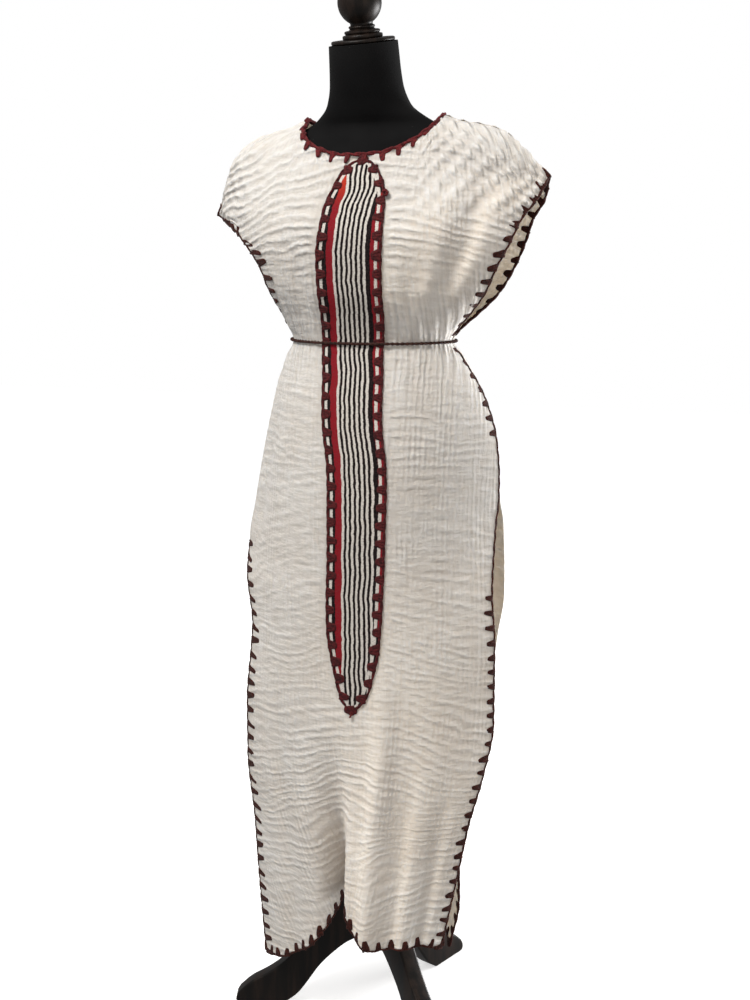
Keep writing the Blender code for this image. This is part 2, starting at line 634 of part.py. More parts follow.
def build():
    clear_scene()
    collection = bpy.data.collections.new("habesha_kemis")
    bpy.context.scene.collection.children.link(collection)
    middle = bpy.data.objects.new("stand_middle", None)
    middle.location = (STAND_X, STAND_Y, 0.0)
    collection.objects.link(middle)
    make_panel("front")
    make_panel("back")
    make_band()
    make_belt()
    make_torso()
    make_neck_cap()
    make_stand()


build()
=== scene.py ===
# %% [markdown]
# A habesha kemis on its dress form. The dress is two straight lengths of crinkled cotton gauze
# with a striped hand-woven band down the front, edged with blanket stitch and tied at the waist.
# The solids of the frame hold its true size and shape. This script gives it its cloth,
# its sewing and its colours, and never moves a solid.

# %% Load the frame
import math

import bmesh
import bpy
import numpy as np
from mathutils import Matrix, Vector


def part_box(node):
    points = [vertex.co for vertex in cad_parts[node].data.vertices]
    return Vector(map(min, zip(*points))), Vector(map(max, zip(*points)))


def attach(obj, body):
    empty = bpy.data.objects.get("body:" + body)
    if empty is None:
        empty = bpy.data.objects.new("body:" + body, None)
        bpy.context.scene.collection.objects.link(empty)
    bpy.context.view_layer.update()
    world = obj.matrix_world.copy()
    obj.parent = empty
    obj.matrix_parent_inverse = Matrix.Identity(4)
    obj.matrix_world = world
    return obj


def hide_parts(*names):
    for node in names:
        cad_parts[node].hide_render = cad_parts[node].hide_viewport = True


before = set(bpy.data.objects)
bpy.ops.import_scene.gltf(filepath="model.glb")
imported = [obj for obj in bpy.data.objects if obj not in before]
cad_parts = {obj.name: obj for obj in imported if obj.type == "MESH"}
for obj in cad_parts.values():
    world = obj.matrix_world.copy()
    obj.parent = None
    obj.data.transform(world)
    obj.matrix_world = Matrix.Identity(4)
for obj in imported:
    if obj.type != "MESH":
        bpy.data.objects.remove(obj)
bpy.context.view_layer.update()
pole_low, pole_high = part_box("stand_pole")
STAND = np.array([(pole_low.x + pole_high.x) / 2, (pole_low.y + pole_high.y) / 2, 0.0])
print("nodes", len(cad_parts), "stand's middle", STAND.round(4))

# %% [markdown]
# The camera stands a little to the wearer's left of the front, at chest height, and looks down
# by ten degrees, as the photograph does. It comes first, so that each piece can be judged from it.

# %% Camera
CAMERA_AZIMUTH = math.radians(20.0)
CAMERA_DISTANCE = 2.11
CAMERA_HEIGHT = 1.25
CAMERA_PITCH = math.radians(10.3)
CAMERA_LENS = 48.6

camera = bpy.data.objects.new("camera", bpy.data.cameras.new("camera"))
bpy.context.scene.collection.objects.link(camera)
camera.location = (
    STAND[0] + math.sin(CAMERA_AZIMUTH) * CAMERA_DISTANCE,
    STAND[1] - math.cos(CAMERA_AZIMUTH) * CAMERA_DISTANCE,
    CAMERA_HEIGHT,
)
camera.rotation_euler = (math.radians(90.0) - CAMERA_PITCH, 0.0, CAMERA_AZIMUTH)
camera.data.lens = CAMERA_LENS
camera.data.sensor_width = 36.0
bpy.context.scene.camera = camera
print("camera", [round(value, 3) for value in camera.location])

# %% [markdown]
# The dress is lit from high in front, as in a shop with lamps in its ceiling: that is what shows
# crinkle, because each ridge is bright above and shaded below. A weaker light fills from the
# side, one low behind shines into the slit and through the gauze, and a white world gives the
# plain background. The floor is a pale sheet, which isn't part of the object.

# %% Lights and floor
FLOOR_HALF = 9.0
WORLD_SEEN = 1.0
WORLD_LIGHT = 0.345
WHITE = (1.0, 1.0, 1.0)
LIGHT_NAMES = ("name", "place", "aim", "size", "power", "colour")
LIGHTS = [
    ("key", (-1.0, -2.4, 4.1), (0.0, 0.0, 0.70), 1.3, 141.0, (1.0, 0.970, 0.925)),
    ("fill", (2.4, -1.8, 1.1), (0.0, 0.0, 0.60), 2.0, 13.0, (1.0, 0.870, 0.730)),
    ("rear", (2.3, 2.2, 0.7), (0.12, 0.08, 0.62), 1.6, 165.0, WHITE),
]
bpy.context.scene.view_settings.view_transform = "Standard"


def add_light(name, place, aim, size, power, colour):
    """A square soft light at a place, turned to a point."""
    made = bpy.data.objects.new(name, bpy.data.lights.new(name, "AREA"))
    made.data.size = size
    made.data.energy = power
    made.data.color = colour
    made.location = place
    made.rotation_euler = (Vector(aim) - Vector(place)).to_track_quat("-Z", "Y").to_euler()
    bpy.context.scene.collection.objects.link(made)


def make_world():
    """A white world that is seen brighter than it shines, so the background is plain."""
    world = bpy.data.worlds.new("studio")
    world.use_nodes = True
    nodes, links = world.node_tree.nodes, world.node_tree.links
    shine = nodes["Background"]
    shine.inputs["Strength"].default_value = WORLD_LIGHT
    shine.inputs["Color"].default_value = (*WHITE, 1.0)
    seen = nodes.new("ShaderNodeBackground")
    seen.inputs["Strength"].default_value = WORLD_SEEN
    seen.inputs["Color"].default_value = (*WHITE, 1.0)
    rays = nodes.new("ShaderNodeLightPath")
    blend = nodes.new("ShaderNodeMixShader")
    links.new(rays.outputs["Is Camera Ray"], blend.inputs[0])
    links.new(shine.outputs[0], blend.inputs[1])
    links.new(seen.outputs[0], blend.inputs[2])
    links.new(blend.outputs[0], nodes["World Output"].inputs["Surface"])
    return world


for light in LIGHTS:
    add_light(**dict(zip(LIGHT_NAMES, light)))
bpy.context.scene.world = make_world()

floor_mesh = bpy.data.meshes.new("floor")
corners = [(-1, -1), (1, -1), (1, 1), (-1, 1)]
floor_mesh.from_pydata([(x * FLOOR_HALF, y * FLOOR_HALF, 0.0) for x, y in corners], [], [(0, 1, 2, 3)])
floor = bpy.data.objects.new("floor", floor_mesh)
bpy.context.scene.collection.objects.link(floor)
floor.visible_diffuse = False
floor.visible_glossy = False
print("lights", [light[0] for light in LIGHTS])

# %% [markdown]
# A material is a small tree of nodes. Wire wraps one socket of such a tree, so that shader
# maths reads as plain Python: an operator adds a Math node, and node() adds any other one. The
# tree that sews, further down, is written with it too.

# %% A socket that takes operators
class Wire:
    """One output socket of a node tree, on which Python's operators add Math nodes."""

    def __init__(self, tree, socket=None):
        self.tree = tree
        self.socket = socket

    def node(self, kind, settings=None, sockets=None, out=0):
        """Any node: settings first, then a value or a link for each named or numbered socket."""
        made = self.tree.nodes.new(kind)
        for name, value in (settings or {}).items():
            if name == "stops":
                while len(made.color_ramp.elements) < len(value):
                    made.color_ramp.elements.new(1.0)
                for element, (place, colour) in zip(made.color_ramp.elements, value):
                    element.position = place
                    element.color = (*colour, 1.0)
            elif name == "interpolation":
                made.color_ramp.interpolation = value
            else:
                setattr(made, name, value)
        for name, value in (sockets or {}).items():
            if isinstance(value, Wire):
                self.tree.links.new(value.socket, made.inputs[name])
            else:
                made.inputs[name].default_value = value
        return Wire(self.tree, made.outputs[out])

    def math(self, operation, *values):
        return self.node("ShaderNodeMath", {"operation": operation}, dict(enumerate(values)))

    def __add__(self, other):
        return self.math("ADD", self, other)

    def __mul__(self, other):
        return self.math("MULTIPLY", self, other)

    def __sub__(self, other):
        return self.math("SUBTRACT", self, other)

    def __rsub__(self, other):
        return self.math("SUBTRACT", other, self)

    __radd__ = __add__
    __rmul__ = __mul__

    def ridge(self, pitch, sharpness=1.4):
        """Rounded ridges from 0 to 1 along a length in metres, one for each pitch."""
        wave = self.math("COSINE", self * (2 * math.pi / pitch)) * 0.5 + 0.5
        return self.math("POWER", wave, sharpness)

    def between(self, low, high):
        """0 below low, 1 above high, smooth in the middle."""
        sockets = {0: self, 1: low, 2: high}
        return self.node("ShaderNodeMapRange", {"interpolation_type": "SMOOTHSTEP"}, sockets)

    def mix(self, first, second):
        """The first colour where this is 0, and the second where it is 1."""
        sockets = {0: self, 6: first, 7: second}
        return self.node("ShaderNodeMix", {"data_type": "RGBA"}, sockets, out=2)


def new_finish(name, roughness, metallic=0.0, sheen=0.0, coat=0.0, specular=0.5):
    """A material and a wire at its start; the plain numbers are set on the shader itself."""
    material = bpy.data.materials.new(name)
    material.use_nodes = True
    shader = material.node_tree.nodes["Principled BSDF"]
    shader.inputs["Roughness"].default_value = roughness
    shader.inputs["Metallic"].default_value = metallic
    shader.inputs["Sheen Weight"].default_value = sheen
    shader.inputs["Coat Weight"].default_value = coat
    shader.inputs["Specular IOR Level"].default_value = specular
    return material, shader, Wire(material.node_tree)


def finish_with(wire, shader, colour, height=None, depth=1.0, strength=1.0):
    """Links a colour and a height, which the depth turns into metres, to the shader."""
    wire.tree.links.new(colour.socket, shader.inputs["Base Color"])
    if height is not None:
        sockets = {"Height": height, "Distance": depth, "Strength": strength}
        normal = wire.node("ShaderNodeBump", {}, sockets)
        wire.tree.links.new(normal.socket, shader.inputs["Normal"])


def tone(*values):
    return (*values, 1.0)


def object_place(wire):
    """The place on the object, in metres."""
    return wire.node("ShaderNodeTexCoord", {}, out=3)


def speckle(place, scale, detail=2.0):
    """Noise from 0 to 1, with scale marks to each metre."""
    return place.node("ShaderNodeTexNoise", {}, {"Vector": place, "Scale": scale, "Detail": detail})


# %% [markdown]
# The gauze is undyed cotton, nearly white. Its colour is darkened in each hollow, which is painted shade.
# Its large ridges are modelled, and this finish adds what is too fine for a mesh: the crest of each ridge,
# the small ribs between them, the gathers at the belt and the net of pebbles on the shoulder. The
# mesh carries the ridges' own coordinate and the strength of each set as attributes, so that
# the fine marks keep in step with the modelled ones.

# %% Gauze
RIDGE_PITCH = 0.0140
RIB_PITCH = 0.0078
GATHER_PITCH = 0.0092
NET_PITCH = 0.0180
NET_ACROSS = 0.72
NET_UP = 0.70
THINNESS = 0.75
GLOW_COLOUR = (1.0, 0.92, 0.82)
GLOW_DEPTH = 0.0035
GAUZE_DULL = (0.785, 0.728, 0.672)
GAUZE_CLEAN = (0.850, 0.800, 0.748)
# The dark tone of the painted shade in the gauze's hollows
GAUZE_PAINTED_SHADE = (0.530, 0.465, 0.400)
# Marks to each metre across and down, and their detail
GAUZE_NOISE = {
    "wobble": (80.0, 55.0, 2.0),
    "strong": (22.0, 60.0, 2.0),
    "upright": (14.0, 11.0, 2.0),
    "lying": (34.0, 125.0, 2.0),
    "standing": (150.0, 16.0, 2.0),
    "fine": (240.0, 300.0, 3.0),
    "thread": (900.0, 900.0, 1.0),
    "cloudy": (7.0, 7.0, 3.0),
}
# Metres that each set of marks stands up, where it is weakest and how much more where strongest
GAUZE_HEIGHT = {"crest": (0.0004, 0.0019), "rib": (0.00020, 0.0007), "pleat": (0.0007, 0.0017)}
SECOND_HEIGHT = 0.0006
PEBBLE_HEIGHT = 0.0034
FINE_HEIGHTS = {"lying": 0.0025, "standing": 0.0017, "fine": 0.0005, "thread": 0.00012}
# Metres that each set of lines is pushed about by the wobble
WOBBLE = {"crest": 0.0080, "second": 0.0110, "rib": 0.0060, "pleat": 0.0060, "one": 0.006, "other": 0.004}
SECOND_CLOSER = 1.43
# How strongly the painted shade darkens the hollows
HOLLOW_PAINTED_SHADE = 0.44


def carried(wire, name):
    """A number that the mesh carries."""
    return wire.node("ShaderNodeAttribute", {"attribute_name": name}, out=2)


def cloth_place(wire):
    """The cloth's own lengths in metres: both as a vector, then across and down."""
    place = wire.node("ShaderNodeUVMap", {"uv_map": "cloth"})
    split = wire.node("ShaderNodeSeparateXYZ", {}, {"Vector": place})
    across = Wire(wire.tree, split.socket.node.outputs["X"])
    down = Wire(wire.tree, split.socket.node.outputs["Y"])
    return place, across, down


def cloth_noise(place, across_scale, down_scale, detail=2.0):
    scale = (across_scale, down_scale, 1.0)
    return speckle(place.node("ShaderNodeMapping", {}, {"Vector": place, "Scale": scale}), 1.0, detail)


def make_gauze():
    material, shader, wire = new_finish("gauze", 0.95, sheen=0.05, specular=0.25)
    shader.inputs["Subsurface Weight"].default_value = THINNESS
    shader.inputs["Subsurface Radius"].default_value = GLOW_COLOUR
    shader.inputs["Subsurface Scale"].default_value = GLOW_DEPTH
    place, across, _ = cloth_place(wire)
    level, ridge, net, gather = (carried(wire, name) for name in ("level", "ridge", "net", "gather"))

    def gauze_noise(name):
        return cloth_noise(place, *GAUZE_NOISE[name])

    def stand(name, share):
        least, more = GAUZE_HEIGHT[name]
        return share * more + least

    wobble = gauze_noise("wobble") - 0.5
    strong = gauze_noise("strong").between(0.30, 0.66)
    upright = gauze_noise("upright").between(0.34, 0.70)
    crest = (level + wobble * WOBBLE["crest"]).ridge(RIDGE_PITCH, 1.9)
    second = (level * SECOND_CLOSER + wobble * WOBBLE["second"]).ridge(RIDGE_PITCH, 1.4)
    rib = (across + wobble * WOBBLE["rib"]).ridge(RIB_PITCH, 1.3)
    pleat = (across + wobble * WOBBLE["pleat"]).ridge(GATHER_PITCH, 1.3)
    one = (across * NET_ACROSS + level * NET_UP + wobble * WOBBLE["one"]).ridge(NET_PITCH, 1.2)
    other = (across * NET_ACROSS - level * NET_UP - wobble * WOBBLE["other"]).ridge(NET_PITCH, 1.2)
    small = {name: gauze_noise(name) for name in FINE_HEIGHTS}
    height = crest * ridge * stand("crest", strong) + second * ridge * SECOND_HEIGHT
    height = height + rib * (1.0 - gather) * stand("rib", upright)
    height = height + pleat * gather * stand("pleat", upright) + one * other * net * PEBBLE_HEIGHT
    for name, metres in FINE_HEIGHTS.items():
        height = height + small[name] * metres
    # How much each point is a crest. The colour below darkens the rest towards a dark tone, which is painted
    # shade in the hollows.
    full = crest * ridge * 0.46 + pleat * gather * 0.40 + one * other * net + rib * upright * 0.10
    full = (full + small["lying"] * 0.75 + small["standing"] * 0.35 - 0.30).between(0.02, 0.72)
    base = gauze_noise("cloudy").between(0.35, 0.66).mix(tone(*GAUZE_DULL), tone(*GAUZE_CLEAN))
    colour = ((1.0 - full) * HOLLOW_PAINTED_SHADE).mix(base, tone(*GAUZE_PAINTED_SHADE))
    finish_with(wire, shader, colour, height)
    return material


GAUZE = make_gauze()
print("gauze ridges every mm", RIDGE_PITCH * 1000)

# %% [markdown]
# The band is woven on a hand loom. Its stripes are as wide as the real ones and lie in the same
# order, so the colour is one ramp with hard steps, read across the strip. The threads wander
# a little, and the weft shows as fine ribs.

# %% Striped weave
BAND_HALF_MAX = 0.050
CREAM = (0.70, 0.66, 0.61)
BLACK = (0.0050, 0.0040, 0.0046)
CRIMSON = (0.250, 0.0085, 0.0165)
ORANGE_RED = (0.48, 0.035, 0.014)
WHITE_STRIPES = 7
STRIPES_FROM = -0.0255
STRIPES_TO = 0.0240
CRIMSON_FROM = -0.0360
LAST_RED_FROM = 0.0312
WHITE_SHARE = 0.49
PALE_LEFT_FROM = 0.0034
PALE_RIGHT_FROM = 0.0048
PALE_WIDTH = 0.0046
PALE_SOFT = 0.0003
THREAD_SWAY = 0.0050
THREAD_WAVER = 0.0028
THREAD_FUZZ = 0.0018
ORANGE_DOWN_TO = (0.030, 0.085)
WEFT_PITCH = 0.0017


def band_stops():
    """Where each woven stripe starts across the band, as a share of its greatest width."""
    pitch = (STRIPES_TO - STRIPES_FROM) / (WHITE_STRIPES - 1 + WHITE_SHARE)
    starts = [(-BAND_HALF_MAX, BLACK), (CRIMSON_FROM, CRIMSON)]
    for i in range(WHITE_STRIPES):
        starts.append((STRIPES_FROM + i * pitch, CREAM))
        starts.append((STRIPES_FROM + (i + WHITE_SHARE) * pitch, BLACK))
    starts.append((LAST_RED_FROM, CRIMSON))
    return [((place + BAND_HALF_MAX) / (2 * BAND_HALF_MAX), colour) for place, colour in starts]


def make_weave():
    material, shader, wire = new_finish("striped_weave", 0.95, specular=0.12)
    place, across, down = cloth_place(wire)
    edge = carried(wire, "from_edge")
    sway = cloth_noise(place, 14.0, 26.0, 1.0) - 0.5
    waver = cloth_noise(place, 60.0, 85.0, 1.0) - 0.5
    fuzz = cloth_noise(place, 520.0, 520.0, 1.0)
    q = across + sway * THREAD_SWAY + waver * THREAD_WAVER + (fuzz - 0.5) * THREAD_FUZZ
    share = q * (0.5 / BAND_HALF_MAX) + 0.5
    stripes = wire.node(
        "ShaderNodeValToRGB", {"stops": band_stops(), "interpolation": "CONSTANT"}, {0: share}
    )
    left_red = across.between(CRIMSON_FROM, CRIMSON_FROM + 0.001)
    left_red = left_red * (1.0 - q.between(STRIPES_FROM - 2 * PALE_SOFT, STRIPES_FROM))
    right_red = q.between(LAST_RED_FROM, LAST_RED_FROM + 2 * PALE_SOFT)
    high = (1.0 - down.between(*ORANGE_DOWN_TO)) * (left_red + right_red)
    colour = high.mix(stripes, tone(*ORANGE_RED))
    right = across.between(-0.001, 0.001)
    inside = edge - (right * (PALE_RIGHT_FROM - PALE_LEFT_FROM) + PALE_LEFT_FROM) + (fuzz - 0.5) * 0.002
    pale = inside.between(-PALE_SOFT, PALE_SOFT)
    pale = pale * (1.0 - (inside - PALE_WIDTH).between(-PALE_SOFT, PALE_SOFT))
    colour = pale.mix(colour, tone(*CREAM))
    grain = fuzz.between(0.42, 0.66) * 0.30
    colour = grain.mix(colour, tone(0.09, 0.055, 0.055))
    ribs = down.ridge(WEFT_PITCH, 1.0)
    wrinkle = cloth_noise(place, 60.0, 90.0)
    finish_with(wire, shader, colour, ribs * 0.00010 + fuzz * 0.0003 + wrinkle * 0.0009)
    return material


WEAVE = make_weave()
print("stripes", len(band_stops()))

# %% [markdown]
# The edging is thick cotton yarn, wine red at the neck and the band and a darker brown at the
# sleeves, sides and hems. The waist cord is nearly black brown. One function makes them all:
# its bump is a fine slanting stripe, which is what the twist of a yarn looks like.

# %% Yarns
TWIST_TURN = (0.6, 0.5, 0.7)


def make_yarn(name, dark, light):
    material, shader, wire = new_finish(name, 0.85, sheen=0.05, specular=0.25)
    place = object_place(wire)
    turned = wire.node("ShaderNodeMapping", {}, {"Vector": place, "Rotation": TWIST_TURN})
    fibre = speckle(turned, 900.0)
    patch = speckle(place, 240.0)
    mixed = patch * 0.55 + fibre * 0.45
    colour = mixed.between(0.38, 0.62).mix(tone(*dark), tone(*light))
    finish_with(wire, shader, colour, fibre * 0.0011 + patch * 0.0016)
    return material


WINE_YARN = make_yarn("wine_yarn", (0.060, 0.0070, 0.0085), (0.185, 0.017, 0.020))
BAND_YARN = make_yarn("band_yarn", (0.034, 0.0055, 0.0065), (0.115, 0.0125, 0.0145))
BROWN_YARN = make_yarn("brown_yarn", (0.024, 0.0055, 0.0036), (0.070, 0.013, 0.0075))
CORD_YARN = make_yarn("cord_yarn", (0.022, 0.0085, 0.0065), (0.078, 0.027, 0.020))
print("yarns", [yarn.name for yarn in (WINE_YARN, BAND_YARN, BROWN_YARN, CORD_YARN)])

# %% [markdown]
# The form is covered in matte black jersey, a fine knit with hardly a gloss. Its cap, finial,
# hub and legs are turned or sawn from wood, stained nearly black and waxed. The pole is
# painted steel.

# %% Jersey, wood and steel
def make_jersey():
    material, shader, wire = new_finish("black_jersey", 1.0, sheen=0.02, specular=0.10)
    place = object_place(wire)
    knit = speckle(place, 700.0)
    cloudy = speckle(place, 14.0)
    cells = {"Vector": place, "Scale": 85.0, "Randomness": 1.0}
    lint = wire.node("ShaderNodeTexVoronoi", {}, cells)
    speck = 1.0 - lint.between(0.028, 0.060)
    colour = cloudy.between(0.3, 0.7).mix(tone(0.0052, 0.0052, 0.0056), tone(0.0080, 0.0080, 0.0084))
    colour = (speck * cloudy.between(0.50, 0.56) * 0.5).mix(colour, tone(0.10, 0.10, 0.10))
    finish_with(wire, shader, colour, knit, 0.0004, 0.6)
    return material


def make_wood():
    material, shader, wire = new_finish("dark_wood", 0.45, specular=0.22)
    place = object_place(wire)
    stretched = wire.node("ShaderNodeMapping", {}, {"Vector": place, "Scale": (90.0, 90.0, 9.0)})
    grain = speckle(stretched, 1.0, 4.0)
    colour = grain.between(0.36, 0.68).mix(tone(0.0050, 0.0038, 0.0032), tone(0.0175, 0.0105, 0.0075))
    rough = grain * 0.25 + 0.30
    wire.tree.links.new(rough.socket, shader.inputs["Roughness"])
    finish_with(wire, shader, colour, grain, 0.0004, 0.35)
    return material


def make_steel():
    material, shader, wire = new_finish("dark_metal", 0.42, metallic=0.6)
    paint = speckle(object_place(wire), 300.0)
    colour = paint.between(0.3, 0.7).mix(tone(0.020, 0.020, 0.021), tone(0.032, 0.032, 0.033))
    finish_with(wire, shader, colour, paint, 0.0002, 0.3)
    return material


FLOOR_GLOW_NEAR = 0.60
FLOOR_GLOW_FAR = 0.80


def make_floor_paint():
    """Pale paint that glows a little, more so far away, so the background has no edge."""
    material, shader, wire = new_finish("pale_floor", 0.90)
    shader.inputs["Emission Strength"].default_value = 1.0
    place = object_place(wire)
    away = wire.node("ShaderNodeVectorMath", {"operation": "LENGTH"}, {0: place}, out=1)
    near, far = tone(*[FLOOR_GLOW_NEAR] * 3), tone(*[FLOOR_GLOW_FAR] * 3)
    glow = away.between(1.0, 3.0).mix(near, far)
    wire.tree.links.new(glow.socket, shader.inputs["Emission Color"])
    cloudy = speckle(place, 2.0)
    colour = cloudy.between(0.3, 0.7).mix(tone(0.83, 0.83, 0.825), tone(0.87, 0.87, 0.865))
    finish_with(wire, shader, colour)
    return material


JERSEY = make_jersey()
WOOD = make_wood()
STEEL = make_steel()
floor_mesh.materials.append(make_floor_paint())
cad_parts["stand_pole"].data.materials.clear()
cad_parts["stand_pole"].data.materials.append(STEEL)
print("materials", len(bpy.data.materials))

# %% [markdown]
# The dress hangs in sections. At each height a panel runs from one edge to the other along a
# rounded curve, and these tables say where its edges and its middle are, as the frame's
# source does. Values between two rows lie on a smooth curve that never overshoots.

# %% Tables and curves
SEAM_HALF = 0.0009
BAND_OUT = 0.0019


def table(names, rows):
    """A table with named columns, sorted by its first column."""
    columns = np.array(sorted(rows), float).T
    return dict(zip(names.split(), columns))


def at(rows, column, place):
    """A column's value at a place along the first one, on a curve that never overshoots."""
    places = next(iter(rows.values()))
    values = rows[column]
    steps = np.diff(values) / np.diff(places)
    turns = steps[:-1] * steps[1:] <= 0
    total = np.where(turns, 1.0, steps[:-1] + steps[1:])
    inner = np.where(turns, 0.0, 2 * steps[:-1] * steps[1:] / total)
    slopes = np.concatenate([steps[:1], inner, steps[-1:]])
    place = np.clip(place, places[0], places[-1])
    i = np.clip(np.searchsorted(places, place) - 1, 0, len(places) - 2)
    span = places[i + 1] - places[i]
    t = (place - places[i]) / span
    rise = values[i] * (1 + 2 * t) * (1 - t) ** 2 + values[i + 1] * (3 - 2 * t) * t**2
    return rise + span * (slopes[i] * t * (1 - t) ** 2 - slopes[i + 1] * (1 - t) * t**2)


def soft_step(t):
    t = np.clip(t, 0.0, 1.0)
    return t * t * (3 - 2 * t)


def bump(distance, half_width):
    """1 in the middle, falling smoothly to 0 at half_width."""
    return 0.5 + 0.5 * np.cos(np.pi * np.clip(np.abs(distance) / half_width, 0.0, 1.0))


# %% Where the panels' edges and middles are
PLUS_EDGE = table(
    "z front_x front_y back_x back_y",
    [
        (1.362, 0.270, -SEAM_HALF, 0.270, SEAM_HALF),
        (1.330, 0.259, -0.0260, 0.258, 0.0240),
        (1.303, 0.241, -0.0420, 0.238, 0.0380),
        (1.269, 0.227, -0.0540, 0.224, 0.0500),
        (1.234, 0.209, -0.0580, 0.208, 0.0540),
        (1.194, 0.188, -0.0480, 0.186, 0.0460),
        (1.162, 0.159, -0.0280, 0.158, 0.0280),
        (1.141, 0.137, -0.0120, 0.137, 0.0120),
        (1.120, 0.1245, -SEAM_HALF, 0.1245, SEAM_HALF),
        (1.095, 0.142, -SEAM_HALF, 0.142, SEAM_HALF),
        (1.033, 0.179, -SEAM_HALF, 0.179, SEAM_HALF),
        (0.972, 0.197, -SEAM_HALF, 0.197, SEAM_HALF),
        (0.910, 0.202, -SEAM_HALF, 0.202, SEAM_HALF),
        (0.880, 0.202, -0.0014, 0.2035, 0.0014),
        (0.845, 0.200, -0.0070, 0.2085, 0.0060),
        (0.780, 0.199, -0.0170, 0.2095, 0.0130),
        (0.728, 0.201, -0.0270, 0.2085, 0.0190),
        (0.655, 0.207, -0.0300, 0.196, 0.0290),
        (0.529, 0.207, -0.0300, 0.180, 0.0360),
        (0.444, 0.195, -0.0460, 0.160, 0.0400),
        (0.369, 0.177, -0.0580, 0.141, 0.0390),
        (0.271, 0.158, -0.0600, 0.1355, 0.0340),
        (0.190, 0.142, -0.0615, 0.1370, 0.0310),
        (0.100, 0.125, -0.0620, 0.1190, 0.0290),
    ],
)
MINUS_EDGE = table(
    "z front_x front_y back_x back_y",
    [
        (1.313, -0.264, -SEAM_HALF, -0.264, SEAM_HALF),
        (1.294, -0.224, -0.0370, -0.229, 0.0280),
        (1.275, -0.194, -0.0660, -0.204, 0.0460),
        (1.245, -0.163, -0.0840, -0.175, 0.0560),
        (1.216, -0.150, -0.0800, -0.160, 0.0520),
        (1.181, -0.1455, -0.0520, -0.152, 0.0360),
        (1.150, -0.1395, -0.0180, -0.141, 0.0140),
        (1.120, -0.129, -SEAM_HALF, -0.129, SEAM_HALF),
        (1.095, -0.142, -SEAM_HALF, -0.142, SEAM_HALF),
        (1.044, -0.164, -SEAM_HALF, -0.164, SEAM_HALF),
        (0.954, -0.188, -SEAM_HALF, -0.188, SEAM_HALF),
        (0.853, -0.208, -SEAM_HALF, -0.208, SEAM_HALF),
        (0.790, -0.219, -0.0012, -0.219, 0.0012),
        (0.735, -0.209, -0.0320, -0.212, 0.0180),
        (0.658, -0.191, -0.0540, -0.200, 0.0280),
        (0.530, -0.199, -0.0620, -0.204, 0.0330),
        (0.442, -0.199, -0.0630, -0.201, 0.0360),
        (0.330, -0.187, -0.0650, -0.192, 0.0380),
        (0.232, -0.180, -0.0680, -0.184, 0.0380),
        (0.080, -0.165, -0.0730, -0.172, 0.0360),
    ],
)
MIDDLE = table(
    "z front_y back_y power roundness",
    [
        (1.4550, -0.0200, 0.0180, 2.6, 1.00),
        (1.4300, -0.0520, 0.0400, 2.6, 1.00),
        (1.3910, -0.0785, 0.0650, 2.6, 1.00),
        (1.3400, -0.1080, 0.0830, 2.6, 1.00),
        (1.2700, -0.1340, 0.0930, 2.6, 1.00),
        (1.2000, -0.1250, 0.0920, 2.4, 0.85),
        (1.1500, -0.1050, 0.0890, 2.1, 0.60),
        (1.1200, -0.0970, 0.0870, 2.0, 0.50),
        (1.0950, -0.1010, 0.0920, 2.0, 0.55),
        (1.0300, -0.1150, 0.1120, 2.2, 0.75),
        (0.9300, -0.1280, 0.1330, 2.3, 0.95),
        (0.8500, -0.1330, 0.1380, 2.3, 1.00),
        (0.7000, -0.1340, 0.1360, 2.3, 1.00),
        (0.4500, -0.1360, 0.1320, 2.3, 1.00),
        (0.1500, -0.1400, 0.1300, 2.3, 1.00),
    ],
)
sides = [round(float(at(rows, "front_x", 1.0)), 3) for rows in (MINUS_EDGE, PLUS_EDGE)]
print("sides at a height of 1 m", sides)

# %% Shoulders, neck and hems
SHOULDER_PLUS = table(
    "x z",
    [(0.0, 1.4550), (0.1075, 1.4525), (0.135, 1.4440), (0.190, 1.4320)]
    + [(0.228, 1.4050), (0.250, 1.3820), (0.270, 1.3620)],
)
SHOULDER_MINUS = table(
    "x z",
    [(0.0, 1.4550), (0.1075, 1.4525), (0.135, 1.4420), (0.190, 1.4280)]
    + [(0.228, 1.4020), (0.246, 1.3560), (0.264, 1.3130)],
)
FRONT_HEM = table(
    "u z",
    [(-1.0, 0.100), (-0.75, 0.114), (-0.50, 0.148), (-0.35, 0.184), (-0.20, 0.228)]
    + [(-0.11, 0.247), (-0.02, 0.240), (0.06, 0.221), (0.14, 0.198), (0.25, 0.182)]
    + [(0.40, 0.170), (0.55, 0.168), (0.70, 0.168), (0.85, 0.164), (1.0, 0.158)],
)
BACK_HEM = table("u z", [(-1.0, 0.098), (-0.5, 0.140), (0.0, 0.156), (0.5, 0.146), (1.0, 0.112)])
NECK_HALF_WIDTH = 0.1075
NECK_END_Z = 1.4525
NECK_DROP = {"front": 0.0605, "back": 0.0200}
SHOULDER_ROLL = 0.050
SLEEVE_ROLL = 0.024
VALLEY_U = -0.12
VALLEY_LEFT_HALF_U = 0.30
VALLEY_RIGHT_HALF_U = 0.20
VALLEY_DEPTH = 0.082
VALLEY_LEFT_PULL = 0.135
VALLEY_RIGHT_PULL = 0.070
VALLEY_PULL_U = 0.33
VALLEY_TOP_Z = 0.555
VALLEY_FULL_Z = 0.200
BELT_Z = 1.120
print("front hem from", FRONT_HEM["z"].min(), "to", FRONT_HEM["z"].max(), "m above the floor")
